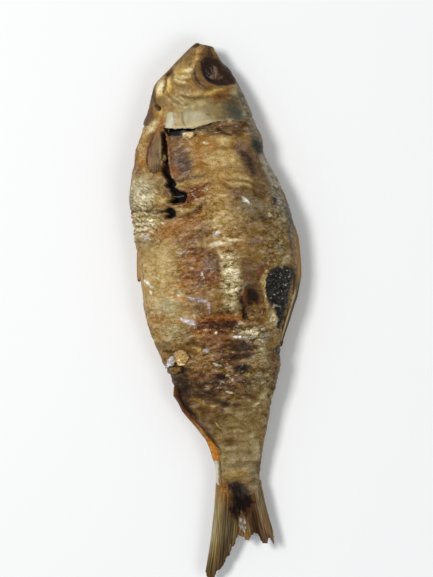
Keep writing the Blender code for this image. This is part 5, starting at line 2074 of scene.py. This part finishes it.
def make_stage():
    shape = bmesh.new()
    bmesh.ops.create_grid(shape, x_segments=1, y_segments=1, size=FLOOR_HALF)
    mesh = mesh_from("floor", shape)
    floor = bpy.data.objects.new("floor", mesh)
    bpy.context.scene.collection.objects.link(floor)
    finish = Finish("pale_floor", Roughness=0.85)
    finish.shader.inputs["Base Color"].default_value = (*settings().floor_colour, 1)
    mesh.materials.append(finish.material)
    for lamp in LAMPS:
        add_lamp(*lamp)
    world = bpy.data.worlds.new("soft_studio")
    world.use_nodes = True
    background = world.node_tree.nodes["Background"]
    background.inputs["Color"].default_value = SKY_COLOUR
    background.inputs["Strength"].default_value = SKY_STRENGTH
    scene = bpy.context.scene
    scene.world = world
    scene.view_settings.view_transform = "Standard"
    lens = bpy.data.cameras.new("camera")
    lens.lens = LENS
    lens.clip_end = CAMERA_REACH
    camera = bpy.data.objects.new("camera", lens)
    camera.location = Vector(CAMERA_SPOT) * MM
    camera.rotation_euler = (0, 0, math.radians(CAMERA_TURN))
    scene.collection.objects.link(camera)
    scene.camera = camera


# ---- The add-on ----


class FishSettings(bpy.types.PropertyGroup):
    """Sizes and colours of the smoked fish."""

    relief: FloatProperty(
        name="Relief", description="Strength of the folds, hollows and tears", default=1.0, min=0, max=2
    )
    oil: FloatProperty(
        name="Oil", description="How oily the skin looks", default=0.8, min=0, max=1, subtype="FACTOR"
    )
    fin_thickness: FloatProperty(
        name="Fin Thickness", description="Thickness of the dried fins", default=0.5 * MM, unit="LENGTH"
    )
    plate_thickness: FloatProperty(
        name="Gill Cover Thickness", description="Thickness of the gill covers", default=0.7 * MM,
        unit="LENGTH",
    )
    floor_colour: FloatVectorProperty(
        name="Floor Colour", description="Colour of the floor", default=(0.95, 0.95, 0.95), min=0, max=1,
        subtype="COLOR",
    )


for colour_name, (display, use) in COLOURS.items():
    FishSettings.__annotations__[colour_name] = FloatVectorProperty(
        name=colour_name.replace("_", " ").title(), description=f"Colour of {use}", default=srgb(*display),
        min=0, max=1, subtype="COLOR",
    )


class FISH_OT_trunk(bpy.types.Operator):
    """Builds the trunk's wrinkled skin, with its torn places"""

    bl_idname = "smoked_fish.trunk"
    bl_label = "Trunk Skin"

    def execute(self, context):
        make_trunk()
        return {"FINISHED"}


class FISH_OT_head(bpy.types.Operator):
    """Builds the head's skin, with its jaws and cheeks"""

    bl_idname = "smoked_fish.head"
    bl_label = "Head Skin"

    def execute(self, context):
        make_head()
        return {"FINISHED"}


class FISH_OT_gill_covers(bpy.types.Operator):
    """Builds the gill cover of each side"""

    bl_idname = "smoked_fish.gill_covers"
    bl_label = "Gill Covers"

    def execute(self, context):
        make_gill_covers()
        return {"FINISHED"}


class FISH_OT_eyes(bpy.types.Operator):
    """Builds the two dried, sunken eyes"""

    bl_idname = "smoked_fish.eyes"
    bl_label = "Eyes"

    def execute(self, context):
        make_eyes()
        return {"FINISHED"}


class FISH_OT_fins(bpy.types.Operator):
    """Builds the folded fins of the breast, belly, back and vent"""

    bl_idname = "smoked_fish.fins"
    bl_label = "Fins"

    def execute(self, context):
        make_fins()
        return {"FINISHED"}


class FISH_OT_tail(bpy.types.Operator):
    """Builds the frayed tail"""

    bl_idname = "smoked_fish.tail"
    bl_label = "Tail"

    def execute(self, context):
        make_tail()
        return {"FINISHED"}


class FISH_OT_scraps(bpy.types.Operator):
    """Builds the torn scraps of skin, the fat at the vent and the crumbs of flesh"""

    bl_idname = "smoked_fish.scraps"
    bl_label = "Torn Scraps"

    def execute(self, context):
        make_scraps()
        return {"FINISHED"}


class FISH_OT_stage(bpy.types.Operator):
    """Builds the floor, the lights and the camera"""

    bl_idname = "smoked_fish.stage"
    bl_label = "Stage"

    def execute(self, context):
        make_stage()
        return {"FINISHED"}


OPERATORS = (
    FISH_OT_trunk,
    FISH_OT_head,
    FISH_OT_gill_covers,
    FISH_OT_eyes,
    FISH_OT_fins,
    FISH_OT_tail,
    FISH_OT_scraps,
    FISH_OT_stage,
)


class FISH_PT_panel(bpy.types.Panel):
    """Lists the steps that build the fish, and its sizes and colours"""

    bl_idname = "FISH_PT_panel"
    bl_label = "Smoked Fish"
    bl_space_type = "VIEW_3D"
    bl_region_type = "UI"
    bl_category = "Smoked Fish"

    def draw(self, context):
        for operator in OPERATORS:
            self.layout.operator(operator.bl_idname)
        for setting in FishSettings.__annotations__:
            self.layout.prop(context.scene.smoked_fish, setting)


CLASSES = (FishSettings, *OPERATORS, FISH_PT_panel)


def register():
    for each in CLASSES:
        bpy.utils.register_class(each)
    bpy.types.Scene.smoked_fish = PointerProperty(type=FishSettings)


def unregister():
    del bpy.types.Scene.smoked_fish
    for each in reversed(CLASSES):
        bpy.utils.unregister_class(each)


def main():
    register()
    for operator in OPERATORS:
        getattr(bpy.ops.smoked_fish, operator.bl_idname.split(".")[1])()


if __name__ == "__main__":
    main()
